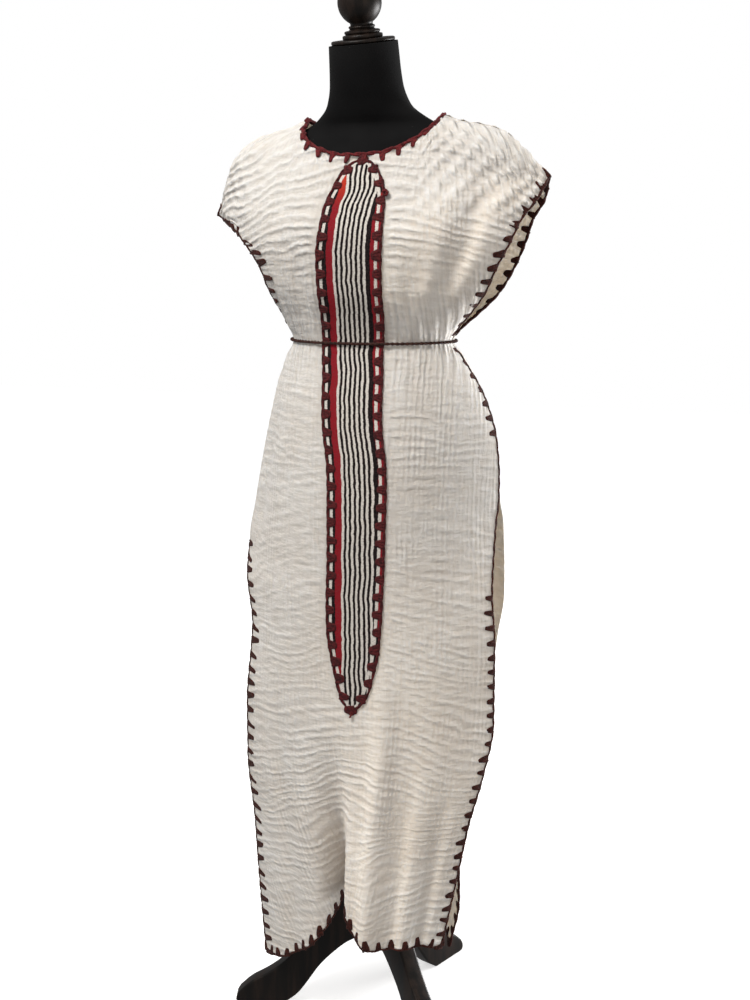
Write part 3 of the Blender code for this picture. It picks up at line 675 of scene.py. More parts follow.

# %% [markdown]
# The large folds are listed one by one, as soft troughs: where across the panel, how wide, how
# deep in metres, and between which heights. A negative depth is a ridge. The wide ones are the
# solids' own, some of them a little softer here. The back has narrower ones after them, which
# are only here, and as uneven in place, width and depth as the folds that the photograph shows.

# %% Folds
FOLD_NAMES = ("u", "half", "depth", "top", "full", "low")
FRONT_FOLDS = [
    (0.29, 0.14, -0.0150, 0.66, 0.42, -1.0),
    (0.50, 0.13, 0.0090, 0.60, 0.25, -1.0),
    (0.78, 0.12, 0.0090, 0.52, 0.25, -1.0),
    (-0.60, 0.12, 0.0080, 0.66, 0.30, -1.0),
    (-0.83, 0.09, 0.0080, 1.04, 0.90, 0.76),
    (-0.52, 0.13, 0.0050, 1.30, 1.20, 1.12),
    (0.50, 0.15, 0.0035, 1.31, 1.20, 1.10),
    (0.78, 0.10, 0.0045, 1.36, 1.27, 1.15),
    (0.72, 0.13, 0.0080, 1.41, 1.31, 1.13),
]
BACK_FOLDS = [
    (-0.45, 0.16, 0.0260, 0.75, 0.20, -1.0),
    (0.02, 0.14, 0.0180, 0.60, 0.20, -1.0),
    (0.48, 0.16, 0.0280, 0.80, 0.20, -1.0),
    (-0.50, 0.14, 0.0060, 1.34, 1.22, 1.12),
    (0.50, 0.14, 0.0060, 1.34, 1.22, 1.12),
    (-0.78, 0.050, 0.0030, 0.90, 0.66, 0.12),
    (-0.20, 0.060, 0.0032, 1.00, 0.74, 0.20),
    (0.24, 0.050, 0.0026, 0.88, 0.70, 0.34),
    (0.74, 0.060, 0.0032, 0.98, 0.78, 0.16),
    (-0.80, 0.070, 0.0050, 1.40, 1.31, 1.17),
    (0.78, 0.070, 0.0045, 1.40, 1.31, 1.17),
]


def fold_depth(folds, u, z):
    """How far the soft folds draw the cloth in, towards the form."""
    depth = np.zeros(np.broadcast(u, z).shape)
    for row in folds:
        fold = dict(zip(FOLD_NAMES, row))
        grown = soft_step((fold["top"] - z) / (fold["top"] - fold["full"]))
        kept = soft_step((z - fold["low"]) / 0.10)
        depth += fold["depth"] * grown * kept * bump(u - fold["u"], fold["half"])
    return depth


print("folds", len(FRONT_FOLDS), "in front and", len(BACK_FOLDS), "behind")


# %% [markdown]
# A panel is worked out as a grid of points: columns from edge to edge, rows from the shoulder
# and neck down to the hem. The grid is fine enough here for every ridge of the crinkle, and it
# also gives the cloth's own lengths, which the crinkle and the weave follow.

# %% Panel points
BAND = table(
    "z middle_x half_width",
    [
        (1.3840, 0.0110, 0.0040),
        (1.3780, 0.0105, 0.0170),
        (1.3640, 0.0110, 0.0285),
        (1.3430, 0.0125, 0.0380),
        (1.3170, 0.0110, 0.0450),
        (1.2900, 0.0105, 0.0470),
        (1.2500, 0.0072, 0.0490),
        (1.1700, 0.0035, 0.0480),
        (1.1100, -0.0015, 0.0465),
        (1.0700, 0.0020, 0.0460),
        (1.0100, 0.0050, 0.0455),
        (0.9790, 0.0090, 0.0450),
        (0.9400, 0.0150, 0.0445),
        (0.8900, 0.0172, 0.0440),
        (0.8000, 0.0165, 0.0430),
        (0.7400, 0.0145, 0.0430),
        (0.6800, 0.0135, 0.0410),
        (0.6500, 0.0143, 0.0370),
        (0.6200, 0.0145, 0.0305),
        (0.5950, 0.0143, 0.0245),
        (0.5750, 0.0125, 0.0155),
        (0.5630, 0.0115, 0.0030),
    ],
)
COLUMNS = 122
CHEST_ROWS = 86
BODY_ROWS = 246
HEM_ROWS = 60
BODY_TOP_Z = 1.270
BODY_LOW_Z = 0.430
EDGE_CROWDING = 0.62
CHEST_CROWDING = 1.5


def shoulder_z(x):
    """The shoulder line's height at a distance from the middle."""
    return np.where(x < 0, at(SHOULDER_MINUS, "z", -x), at(SHOULDER_PLUS, "z", x))


def neck_z(x, drop):
    """The neck hole's edge, an oval; past its ends it is the shoulder line."""
    inside = np.clip(1 - (x / NECK_HALF_WIDTH) ** 2, 0.0, 1.0)
    return np.where(inside > 0, NECK_END_Z - drop * np.sqrt(inside), shoulder_z(x))


def band_mask(x, z, margin=0.006, fade=0.012):
    """1 where the band holds the front panel flat, and 0 away from it."""
    reach = at(BAND, "half_width", z) + margin
    beside = np.abs(x - at(BAND, "middle_x", z)) - reach
    within = soft_step((BAND["z"][-1] - z) / 0.01) * soft_step((z - BAND["z"][0]) / 0.01)
    return within * (1 - soft_step(beside / fade))


def smooth_point(face, u, z):
    """The panel's surface without its crinkle, in the stand's own frame."""
    edge_x = np.where(u < 0, at(MINUS_EDGE, face + "_x", z), at(PLUS_EDGE, face + "_x", z))
    edge_y = np.where(u < 0, at(MINUS_EDGE, face + "_y", z), at(PLUS_EDGE, face + "_y", z))
    side = -1.0 if face == "front" else 1.0
    x = np.abs(u) * edge_x
    full = (1 - np.abs(u) ** at(MIDDLE, "power", z)) ** at(MIDDLE, "roundness", z)
    y = edge_y + (at(MIDDLE, face + "_y", z) - edge_y) * full
    roll = SHOULDER_ROLL + (SLEEVE_ROLL - SHOULDER_ROLL) * np.abs(u) ** 4
    below = np.clip((shoulder_z(x) - z) / roll, 0.0, 1.0)
    y = side * SEAM_HALF + (y - side * SEAM_HALF) * np.sqrt(1 - (1 - below) ** 2)
    y = y - side * fold_depth(FRONT_FOLDS if face == "front" else BACK_FOLDS, u, z)
    if face == "front":
        grown = soft_step((VALLEY_TOP_Z - z) / (VALLEY_TOP_Z - VALLEY_FULL_Z))
        off = u - VALLEY_U
        half_u = np.where(off < 0, VALLEY_LEFT_HALF_U, VALLEY_RIGHT_HALF_U)
        y = y + VALLEY_DEPTH * grown * bump(off, half_u)
        pull = np.where(off < 0, VALLEY_LEFT_PULL, VALLEY_RIGHT_PULL)
        x = x - pull * grown * off * np.exp(-((off / VALLEY_PULL_U) ** 2))
    return np.stack(np.broadcast_arrays(x, y, z), axis=-1)


def smooth_grid(face):
    """The panel's points row by row from the shoulder line and neck to the hem."""
    even = np.linspace(-1.0, 1.0, COLUMNS + 1)
    u = EDGE_CROWDING * np.sin(even * math.pi / 2) + (1 - EDGE_CROWDING) * even
    tip_x = np.where(u < 0, -MINUS_EDGE["front_x"][-1], PLUS_EDGE["front_x"][-1])
    top_z = neck_z(np.where(u < 0, -1.0, 1.0) * np.abs(u) * tip_x, NECK_DROP[face])
    hem_z = at(FRONT_HEM if face == "front" else BACK_HEM, "z", u)
    chest = (np.arange(CHEST_ROWS) / CHEST_ROWS) ** CHEST_CROWDING
    body = np.linspace(BODY_TOP_Z, BODY_LOW_Z, BODY_ROWS + 1)
    low = np.arange(1, HEM_ROWS + 1) / HEM_ROWS
    heights = [top_z + (BODY_TOP_Z - top_z) * share for share in chest]
    heights += [np.full_like(u, z) for z in body]
    heights += [BODY_LOW_Z + (hem_z - BODY_LOW_Z) * share for share in low]
    z = np.stack(heights)
    return smooth_point(face, np.broadcast_to(u, z.shape), z), np.broadcast_to(u, z.shape)


def grid_normals(points, face):
    """Outward normals of a panel's grid, at its points."""
    normals = np.cross(np.gradient(points, axis=0), np.gradient(points, axis=1))
    normals /= np.linalg.norm(normals, axis=-1, keepdims=True)
    return normals if face == "front" else -normals


def lengths_along(points):
    """Metres from the first point of each row, or of one line of points."""
    steps = np.linalg.norm(np.diff(points, axis=-2), axis=-1)
    return np.concatenate([np.zeros((*steps.shape[:-1], 1)), np.cumsum(steps, axis=-1)], axis=-1)


def cloth_lengths(points):
    """Metres along each row from the middle, and down from the top of the shoulders."""
    across = lengths_along(points)
    across -= across[:, [COLUMNS // 2]]
    return across, points[0, :, 2].max() - points[..., 2]


# %% [markdown]
# Crinkle gauze is woven with two tensions and shrinks into ridges when it is washed. The ridges
# run across the cloth, 12 to 20 mm apart, waver, fork and fade. At the shoulder of the wearer's
# left they cross a second set into a pebbled net, near the belt the cloth is drawn into upright
# gathers, and the skirt shows a faint grid of both. A cloth simulation would not find this
# pattern, so each set is a wave whose phase and height are pushed about by smooth noise.

# %% Crinkle
SEEDS = {"front": 11, "back": 47}
# How wide and how high, in metres, the patches of each kind of unevenness are
PATCHES = {
    "wander": (0.095, 0.065),
    "waver": (0.034, 0.034),
    "patchy": (0.060, 0.050),
    "reach": (0.013, math.inf),
    "gather": (0.020, 0.060),
    "strong": (0.045, 0.020),
    "sway": (0.050, 0.150),
    "deep": (0.030, 0.200),
    "grain": (0.011, 0.010),
}
# Where along a coordinate each part of the cloth starts, and how far on it is fully there
ZONES = {
    "chest arc": (1.140, 0.120),
    "chest": (1.215, 0.060),
    "slope": (0.980, -0.200),
    "low": (0.620, -0.200),
    "lobe across": (0.020, 0.040),
    "lobe": (0.460, -0.140),
    "left shoulder across": (0.075, 0.050),
    "left shoulder": (1.275, 0.050),
    "right shoulder across": (-0.160, -0.040),
    "right shoulder": (1.300, 0.050),
    "below chest": (1.260, -0.060),
    "above knee": (0.550, 0.200),
}
MIDDLE_X = 0.007
CHEST_ARC = 1.55
CHEST_FLAT = 0.045
SKIRT_SLOPE = 0.34
SKIRT_FLAT = 0.040
WANDER = 0.026
WAVER = 0.0075
RIDGE_HEIGHT = 0.0026
NET_HEIGHT = 0.0026
PLEAT_HEIGHT = 0.0022
GRAIN_HEIGHT = 0.0009
PLEAT_PITCH = 0.021
PLEAT_SWAY = 0.010
CALM_REACH = 0.055
PLEAT_REACH = 0.075
PINCH_REACH = 0.012
EDGE_FADE = 0.07
DEEPEST = -0.0003
LATTICE = 64
BAND_HOLD = 0.97
RIDGE_SHARES = {"everywhere": 0.30, "chest": 0.72, "low": 0.22}
BELT_CALM = 0.85
FAINT_NET = 0.35
GATHER_REACH = 0.022
GATHER_FURTHER = 0.100
FAINT_GATHERS = 0.16


def noise(across, down, seed):
    """Smooth noise from 0 to 1, from seeded values on a lattice one unit wide."""
    values = np.random.default_rng(seed).random((LATTICE, LATTICE))
    i = np.floor(across).astype(int)
    j = np.floor(down).astype(int)
    s = soft_step(across - i)
    t = soft_step(down - j)
    near_i, far_i = i % LATTICE, (i + 1) % LATTICE
    near_j, far_j = j % LATTICE, (j + 1) % LATTICE
    low = values[near_i, near_j] * (1 - s) + values[far_i, near_j] * s
    high = values[near_i, far_j] * (1 - s) + values[far_i, far_j] * s
    return low * (1 - t) + high * t


def ridges(phase, sharpness=1.5):
    """Rounded ridges, one for each whole number of the phase, with wider hollows."""
    return (0.5 + 0.5 * np.cos(2 * math.pi * phase)) ** sharpness


def patches(kind, face, across, z):
    """Noise from 0 to 1 in patches of one kind; each kind and panel has its own seed."""
    wide, high = PATCHES[kind]
    return noise(across / wide, z / high, SEEDS[face] + list(PATCHES).index(kind))


def zone(name, place):
    """0 outside a zone of the cloth and 1 inside it."""
    start, span = ZONES[name]
    return soft_step((place - start) / span)


def near_belt(z, reach):
    """1 at the belt, fading within its reach above and below."""
    return np.exp(-(((z - BELT_Z) / reach) ** 2))


def ridge_level(face, points, across):
    """The ridges' own coordinate in metres: the height, lifted where the ridges fall outwards."""
    x, z = points[..., 0], points[..., 2]
    off = np.abs(x - MIDDLE_X)
    arc = CHEST_ARC * np.clip(off - CHEST_FLAT, 0.0, None) ** 2
    in_lobe = zone("lobe across", x) * zone("lobe", z)
    slope = SKIRT_SLOPE * np.sqrt(off**2 + SKIRT_FLAT**2) * (1 - in_lobe)
    wander = WANDER * (patches("wander", face, across, z) - 0.5)
    waver = WAVER * (patches("waver", face, across, z) - 0.5)
    return z + zone("chest arc", z) * arc + zone("slope", z) * slope + wander + waver


def fields(face, points, across):
    """How strong each set of marks is at each point, from 0 to 1."""
    x, z = points[..., 0], points[..., 2]
    free = 1 - BAND_HOLD * band_mask(x, z) if face == "front" else np.ones_like(z)
    patchy = patches("patchy", face, across, z)
    ridge = RIDGE_SHARES["everywhere"] + sum(RIDGE_SHARES[name] * zone(name, z) for name in ("chest", "low"))
    ridge = ridge * (0.45 + 0.85 * patchy) * (1 - BELT_CALM * near_belt(z, CALM_REACH))
    left = zone("left shoulder across", x) * zone("left shoulder", z)
    right = zone("right shoulder across", x) * zone("right shoulder", z)
    net = (left + FAINT_NET * right) * (0.6 + 0.6 * patchy)
    reach = GATHER_REACH + GATHER_FURTHER * patches("reach", face, across, z) ** 2
    gather = near_belt(z, reach) * (0.55 + 0.6 * patches("gather", face, across, z))
    gather += FAINT_GATHERS * zone("below chest", z) * zone("above knee", z)
    return {"ridge": np.clip(ridge * (1 - 0.6 * net) * free, 0, 1.3), "net": net * free,
            "gather": np.clip(gather, 0, 1) * free}


def crinkle(face, points, across, level, marks):
    """How far each point of the cloth stands out from the smooth surface, in metres."""
    x, z = points[..., 0], points[..., 2]
    free = 1 - band_mask(x, z) if face == "front" else 1.0
    strong = 0.35 + 0.95 * patches("strong", face, across, z)
    height = RIDGE_HEIGHT * marks["ridge"] * strong * ridges(level / RIDGE_PITCH, 1.3)
    one = ridges((across * NET_ACROSS + level * NET_UP) / NET_PITCH, 1.2)
    other = ridges((across * NET_ACROSS - level * NET_UP) / NET_PITCH, 1.2)
    height += NET_HEIGHT * marks["net"] * (one * other + 0.25 * one)
    sway = PLEAT_SWAY * (patches("sway", face, across, z) - 0.5)
    pleats = ridges((across + sway) / PLEAT_PITCH, 1.2) * (0.3 + 0.9 * patches("deep", face, across, z))
    drawn = near_belt(z, PLEAT_REACH) * (1 - 0.6 * near_belt(z, PINCH_REACH))
    height += PLEAT_HEIGHT * drawn * pleats * free
    height += GRAIN_HEIGHT * (patches("grain", face, across, z) - 0.3) * free
    edge = soft_step((1 - np.abs(np.linspace(-1, 1, COLUMNS + 1))) / EDGE_FADE)
    return np.maximum(height * (0.2 + 0.8 * edge), DEEPEST)


panels = {}
for face in ("front", "back"):
    points, places = smooth_grid(face)
    normals = grid_normals(points, face)
    across, down = cloth_lengths(points)
    level = ridge_level(face, points, across)
    marks = fields(face, points, across)
    height = crinkle(face, points, across, level, marks)
    panels[face] = {
        "points": points + normals * height[..., None] + STAND,
        "normals": normals,
        "across": across,
        "down": down,
        "height": height,
        "marks": {"level": level, **marks},
    }
    print(face, "grid", points.shape[:2], "ridges up to mm", round(height.max() * 1000, 2))

# %% [markdown]
# Each cloth panel is a grid mesh with the Solidify modifier, a wall as thin as the real gauze
# looks in its folds. The ridges' coordinate and the strengths of the marks go along as
# attributes, for the finish to read.

# %% Cloth panels
GAUZE_WALL = 0.0010


def add_piece(name, mesh, material, node_names):
    """A finished piece at the origin, which rides on the part and stands for its solids."""
    made = bpy.data.objects.new(name, mesh)
    bpy.context.scene.collection.objects.link(made)
    mesh.materials.clear()
    mesh.materials.append(material)
    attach(made, "root")
    if node_names:
        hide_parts(*node_names)
    return made


def grid_mesh(name, points, across, down, fields):
    """A smooth open mesh through a grid, with its cloth lengths as UVs and fields as attributes."""
    rows, columns = points.shape[:2]
    first = (np.arange(rows - 1)[:, None] * columns + np.arange(columns - 1)[None, :]).ravel()
    faces = np.stack([first, first + columns, first + columns + 1, first + 1], axis=-1)
    mesh = bpy.data.meshes.new(name)
    mesh.from_pydata(points.reshape(-1, 3).tolist(), [], faces.tolist())
    layer = mesh.uv_layers.new(name="cloth")
    lengths = np.stack([across, down], axis=-1).reshape(-1, 2)
    layer.data.foreach_set("uv", lengths[faces.ravel()].astype(np.float32).ravel())
    for field, values in fields.items():
        kept = mesh.attributes.new(field, "FLOAT", "POINT")
        kept.data.foreach_set("value", values.astype(np.float32).ravel())
    mesh.shade_smooth()
    return mesh


def give_wall(made, thickness):
    wall = made.modifiers.new("wall", "SOLIDIFY")
    wall.thickness = thickness
    wall.offset = 0.0
    wall.use_even_offset = False


def keep_mesh(name, shape, sharp_above):
    """A smooth mesh from a bmesh, with its edges sharp above an angle in degrees."""
    mesh = bpy.data.meshes.new(name)
    shape.to_mesh(mesh)
    shape.free()
    mesh.shade_smooth()
    mesh.set_sharp_from_angle(angle=math.radians(sharp_above))
    return mesh


def make_panel(face):
    panel = panels[face]
    step = 1 if face == "front" else -1
    points, across, down = (panel[name][:, ::step] for name in ("points", "across", "down"))
    marks = {name: values[:, ::step] for name, values in panel["marks"].items()}
    mesh = grid_mesh(face + "_cloth", points, across, down, marks)
    made = add_piece(face + "_cloth", mesh, GAUZE, [face + "_panel"])
    give_wall(made, GAUZE_WALL)
    return made


cloth = {face: make_panel(face) for face in panels}
for face, panel in panels.items():
    print(face, "width m", round(float(np.ptp(panel["across"], axis=1).max()), 3),
          "length m", round(float(panel["down"][-1].max()), 3))

# %% [markdown]
# The band is laid on the front and follows it. Its points are read from the front panel's grid,
# at even places across, and moved out to its own depth. The woven stripes keep their width
# and run off the edge towards the two points, because the maker cut and folded the corners
# away, a little to one side of the middle.

# %% Striped band
BAND_COLUMNS = 36
BAND_MIDDLE = BAND_COLUMNS // 2
BAND_ROWS = 200
BAND_WALL = 0.0011
BAND_RIPPLE = 0.00035
WEAVE_SHIFT = table(
    "z shift",
    [(1.384, 0.0060), (1.364, 0.0060), (1.343, 0.0075), (1.317, 0.0030), (1.290, 0.0015)]
    + [(1.243, 0.0020), (1.100, 0.0028), (0.980, 0.0030), (0.890, 0.0037), (0.800, 0.0050)]
    + [(0.740, 0.0055), (0.680, 0.0075), (0.650, 0.0060), (0.620, 0.0060), (0.590, 0.0085)]
    + [(0.563, 0.0090)],
)


def band_grid():
    panel = panels["front"]
    smooth = panel["points"] - panel["normals"] * panel["height"][..., None] - STAND
    rows = np.arange(len(smooth))
    middle_z = smooth[:, COLUMNS // 2, 2]
    wanted_z = BAND["z"][-1] + (BAND["z"][0] - BAND["z"][-1]) * np.linspace(0, 1, BAND_ROWS + 1)
    places = np.interp(-wanted_z, -middle_z, rows)
    share = np.linspace(-1.0, 1.0, BAND_COLUMNS + 1)
    points, normals = [], []
    for z, place in zip(wanted_z, places):
        low = min(int(place), len(rows) - 2)
        part = place - low
        line = smooth[low] * (1 - part) + smooth[low + 1] * part
        out = panel["normals"][low] * (1 - part) + panel["normals"][low + 1] * part
        x = at(BAND, "middle_x", z) + at(BAND, "half_width", z) * share
        points.append(np.stack([np.interp(x, line[:, 0], line[:, i]) for i in range(3)], axis=-1))
        normals.append(np.stack([np.interp(x, line[:, 0], out[:, i]) for i in range(3)], axis=-1))
    normals = np.stack(normals)
    normals /= np.linalg.norm(normals, axis=-1, keepdims=True)
    return np.stack(points), normals, wanted_z, share


def make_band():
    points, normals, z, share = band_grid()
    half = at(BAND, "half_width", z)[:, None]
    across = lengths_along(points)
    down = np.broadcast_to(lengths_along(points[:, BAND_MIDDLE])[:, None], across.shape)
    ripple = BAND_RIPPLE * (noise(across / 0.012, down / 0.022, 5) - 0.5)
    placed = points + normals * (BAND_OUT + ripple)[..., None] + STAND
    woven = share * half - at(WEAVE_SHIFT, "shift", z)[:, None]
    mesh = grid_mesh("striped_band", placed, woven, down, {"from_edge": half * (1 - np.abs(share))})
    made = add_piece("striped_band", mesh, WEAVE, ["centre_band"])
    give_wall(made, BAND_WALL)
    return made, placed, normals


striped_band, band_points, band_normals = make_band()
print("band length m", round(float(lengths_along(band_points[:, BAND_MIDDLE])[-1]), 3))

# %% [markdown]
# Blanket stitch is what makes this dress: a yarn runs along every edge, and at even steps a
# stitch reaches from it on to the cloth. Each stitch is three fat passes of yarn that meet at
# its tip and go round the edge, so they show on both faces. Geometry Nodes set one on every
# step. The path carries, point by point, the way on to the cloth and the way out of it, so the
# stitches lie flat wherever it turns.

# %% One stitch
STITCH_LENGTH = 0.0140
STRAND_STARTS = (-0.0036, 0.0, 0.0036)
STRAND_RINGS = [(-0.10, 1.0, 0.0014, 0.0014), (0.06, 0.96, 0.0021, 0.0024), (0.36, 0.78, 0.0022, 0.0023),
                (0.70, 0.56, 0.0021, 0.0020), (0.93, 0.38, 0.0018, 0.0015), (1.0, 0.30, 0.0009, 0.0008)]
STRAND_SIDES = 7


def make_stitch():
    """Three fat strands from the edge, along +Y, that meet at the tip, as thick on both faces."""
    shape = bmesh.new()
    for start in STRAND_STARTS:
        rings = []
        for along, spread, wide, thick in STRAND_RINGS:
            ring = []
            for i in range(STRAND_SIDES):
                a = 2 * math.pi * i / STRAND_SIDES
                x = start * spread + wide * math.cos(a)
                ring.append(shape.verts.new((x, along * STITCH_LENGTH, thick * math.sin(a))))
            rings.append(ring)
        for low, high in zip(rings, rings[1:]):
            for i in range(STRAND_SIDES):
                j = (i + 1) % STRAND_SIDES
                shape.faces.new((low[i], high[i], high[j], low[j]))
        shape.faces.new(rings[0])
        shape.faces.new(list(reversed(rings[-1])))
    bmesh.ops.recalc_face_normals(shape, faces=shape.faces)
    made = bpy.data.objects.new("stitch", keep_mesh("stitch", shape, 180.0))
    bpy.context.scene.collection.objects.link(made)
    return made


stitch = make_stitch()
print("stitch faces", len(stitch.data.polygons))

# %% The tree that sews
SEWING_INPUTS = [
    ("Path", "Geometry", None),
    ("Pitch", "Float", 0.023),
    ("Cord Radius", "Float", 0.0016),
    ("Cord Step", "Float", 0.003),
    ("Turns", "Float", 150.0),
    ("Stitch Width", "Float", 1.0),
    ("Stitch Length", "Float", 1.0),
    ("Unevenness", "Float", 0.16),
    ("Lean", "Float", 0.22),
    ("Seed", "Int", 3),
    ("Stitch", "Object", None),
    ("Yarn", "Material", None),
]
PLY_SIDES = 6
PLY_APART = 0.62


def socket_id(tree, name):
    """The identifier of a tree's input, by its name."""
    return next(item.identifier for item in tree.interface.items_tree if item.name == name)


def make_sewing_tree():
    """Lays a stitch on every step of a path, and two twisted plies of yarn all along it."""
    tree = bpy.data.node_groups.new("blanket_stitch", "GeometryNodeTree")
    for name, kind, value in SEWING_INPUTS:
        made = tree.interface.new_socket(name, in_out="INPUT", socket_type="NodeSocket" + kind)
        if value is not None:
            made.default_value = value
    tree.interface.new_socket("Sewn", in_out="OUTPUT", socket_type="NodeSocketGeometry")
    given = tree.nodes.new("NodeGroupInput")
    result = tree.nodes.new("NodeGroupOutput")
    asked = {socket.name: Wire(tree, socket) for socket in given.outputs}
    add = Wire(tree).node

    def field(name, kind="FLOAT"):
        return add("GeometryNodeInputNamedAttribute", {"data_type": kind}, {"Name": name})

    def resample(line, length):
        return add("GeometryNodeResampleCurve", {"mode": "LENGTH"}, {"Curve": line, "Length": length})

    def random(low, high, seed):
        return add("FunctionNodeRandomValue", {}, {2: low, 3: high, "Seed": seed}, out=1)

    def vector(x, y, z):
        return add("ShaderNodeCombineXYZ", {}, {0: x, 1: y, 2: z})

    def join(*parts):
        joined = add("GeometryNodeJoinGeometry")
        for part in parts:
            tree.links.new(part.socket, joined.socket.node.inputs[0])
        return joined

    curve = add("GeometryNodeMeshToCurve", {}, {"Mesh": asked["Path"]})
    steps = resample(curve, asked["Pitch"])
    axes = {"primary_axis": "Z", "secondary_axis": "Y"}
    ways = {0: field("facing", "FLOAT_VECTOR"), 1: field("inward", "FLOAT_VECTOR")}
    turned = add("FunctionNodeAxesToRotation", axes, ways)
    low = 1.0 - asked["Unevenness"]
    high = 1.0 + asked["Unevenness"]
    width = random(low, high, asked["Seed"])
    length = random(low, high, asked["Seed"] + 7.0) * field("reach")
    wanted = vector(asked["Stitch Width"], asked["Stitch Length"], 1.0)
    size = add("ShaderNodeVectorMath", {"operation": "MULTIPLY"}, {0: vector(width, length, 1.0), 1: wanted})
    lean = random(asked["Lean"] * -1.0, asked["Lean"], asked["Seed"])
    tip = add("FunctionNodeEulerToRotation", {}, {0: vector(0.0, 0.0, lean)})
    leaning = add("FunctionNodeRotateRotation", {"rotation_space": "LOCAL"}, {0: turned, 1: tip})
    more = {"data_type": "FLOAT", "operation": "GREATER_THAN"}
    chosen = add("FunctionNodeCompare", more, {0: field("sewn"), 1: 0.5})
    shape = add("GeometryNodeObjectInfo", {}, {"Object": asked["Stitch"]}, out="Geometry")
    placed = add("GeometryNodeInstanceOnPoints", {}, {
        "Points": steps, "Selection": chosen, "Instance": shape, "Rotation": leaning, "Scale": size})
    angle = add("GeometryNodeSplineParameter", out="Length") * asked["Turns"]
    fine = resample(curve, asked["Cord Step"])
    tilted = add("GeometryNodeSetCurveTilt", {}, {"Curve": fine, "Tilt": angle})
    ring = {"Resolution": PLY_SIDES, "Radius": asked["Cord Radius"]}
    ply = add("GeometryNodeCurvePrimitiveCircle", {}, ring)
    right = vector(asked["Cord Radius"] * PLY_APART, 0.0, 0.0)
    left = add("ShaderNodeVectorMath", {"operation": "SCALE"}, {0: right, "Scale": -1.0})
    plies = join(*[add("GeometryNodeTransform", {}, {"Geometry": ply, "Translation": offset})
                   for offset in (right, left)])
    profile = {"Curve": tilted, "Profile Curve": plies, "Fill Caps": True}
    joined = join(add("GeometryNodeCurveToMesh", {}, profile), placed)
    real = add("GeometryNodeRealizeInstances", {}, {0: joined})
    smooth = add("GeometryNodeSetShadeSmooth", {}, {0: real})
    dressed = add("GeometryNodeSetMaterial", {}, {"Geometry": smooth, "Material": asked["Yarn"]})
    tree.links.new(dressed.socket, result.inputs[0])
    return tree


SEWING = make_sewing_tree()
print("sewing tree nodes", len(SEWING.nodes))

# %% [markdown]
# The paths are the borders of the cloth grids. A path is a plain polyline mesh with four fields:
# the way on to the cloth, the way out of it, whether stitches show there, because on the joined
# sides only the bare yarn runs on, and how far they reach. At the neck the path is lifted, and
# on the wearer's right the stitches reach further, where the cloth turns away from the front.

# %% Paths along the edges
MINUS_REACH = 1.75
NECK_LIFT = 0.0013
# For each border: its own row or column, one further in, and one whose normals are steady
BORDERS = {"top": (0, 4, 2), "hem": (-1, -4, -1), "minus": (0, 4, 2), "plus": (-1, -5, -3)}


def unit(vectors):
    return vectors / np.maximum(np.linalg.norm(vectors, axis=-1, keepdims=True), 1e-9)


def path(points, inward, facing, sewn=1.0, reach=1.0):
    """A line to sew along; each field is one value for all its points or one for each."""
    even = np.ones(len(points))
    return {
        "points": points,
        "inward": even[:, None] * inward,
        "facing": even[:, None] * facing,
        "sewn": even * sewn,
        "reach": even * reach,
    }


def path_mesh(name, lines):
    """Polylines in one mesh, with their fields as attributes."""
    places, edges = [], []
    for line in lines:
        start = len(places)
        places.extend(line["points"].tolist())
        edges.extend((i, i + 1) for i in range(start, len(places) - 1))
    mesh = bpy.data.meshes.new(name)
    mesh.from_pydata(places, edges, [])
    for field in ("inward", "facing", "sewn", "reach"):
        values = np.concatenate([line[field] for line in lines]).astype(np.float32)
        kind, entry = ("FLOAT_VECTOR", "vector") if values.ndim == 2 else ("FLOAT", "value")
        mesh.attributes.new(field, kind, "POINT").data.foreach_set(entry, values.ravel())
    return mesh


def border(face, side, keep, sewn_where=None):
    """One border of a panel, with the points that keep() chooses."""
    own, further, steady = BORDERS[side]
    grids = panels[face]["points"], panels[face]["normals"]
    if side in ("minus", "plus"):
        grids = [np.swapaxes(grid, 0, 1) for grid in grids]
    points, normals = grids
    out = normals[steady]
    lift = out * NECK_LIFT if side == "top" else 0.0
    line = points[own] + lift
    inward = unit(points[further] + lift * 3 - line)
    chosen = keep(line - STAND)
    sewn = np.ones(len(line)) if sewn_where is None else sewn_where(line - STAND).astype(float)
    reach = MINUS_REACH if side == "minus" else 1.0
    return path(line[chosen], inward[chosen], out[chosen], sewn[chosen], reach)


def sew(name, lines, yarn, slot, seed, **sizes):
    """Runs the sewing tree along some paths and keeps the result as a plain mesh."""
    source = bpy.data.objects.new(name + "_path", path_mesh(name + "_path", lines))
    bpy.context.scene.collection.objects.link(source)
    worker = source.modifiers.new("sewing", "NODES")
    worker.node_group = SEWING
    wanted = {"Stitch": stitch, "Yarn": yarn, "Seed": seed}
    wanted.update({key.replace("_", " ").title(): value for key, value in sizes.items()})
    for label, value in wanted.items():
        worker[socket_id(SEWING, label)] = value
    graph = bpy.context.evaluated_depsgraph_get()
    mesh = bpy.data.meshes.new_from_object(source.evaluated_get(graph))
    mesh.name = name
    bpy.data.objects.remove(source)
    made = add_piece(name, mesh, yarn, [])
    print(name, "faces", len(mesh.polygons))
    return made


# %% Sew the edges
BELT_GAP = 0.012
SIDE_STITCHES_LOW_Z = 0.975
SLIT_TOP = {"plus": 0.735, "minus": 0.785}
BACK_EDGING_TOP = 0.580


def neck_line(face):
    return border(face, "top", lambda p: np.abs(p[:, 0]) <= NECK_HALF_WIDTH + 0.002)


def sleeve_line(face, side):
    return border(face, side, lambda p: p[:, 2] > BELT_Z + BELT_GAP)


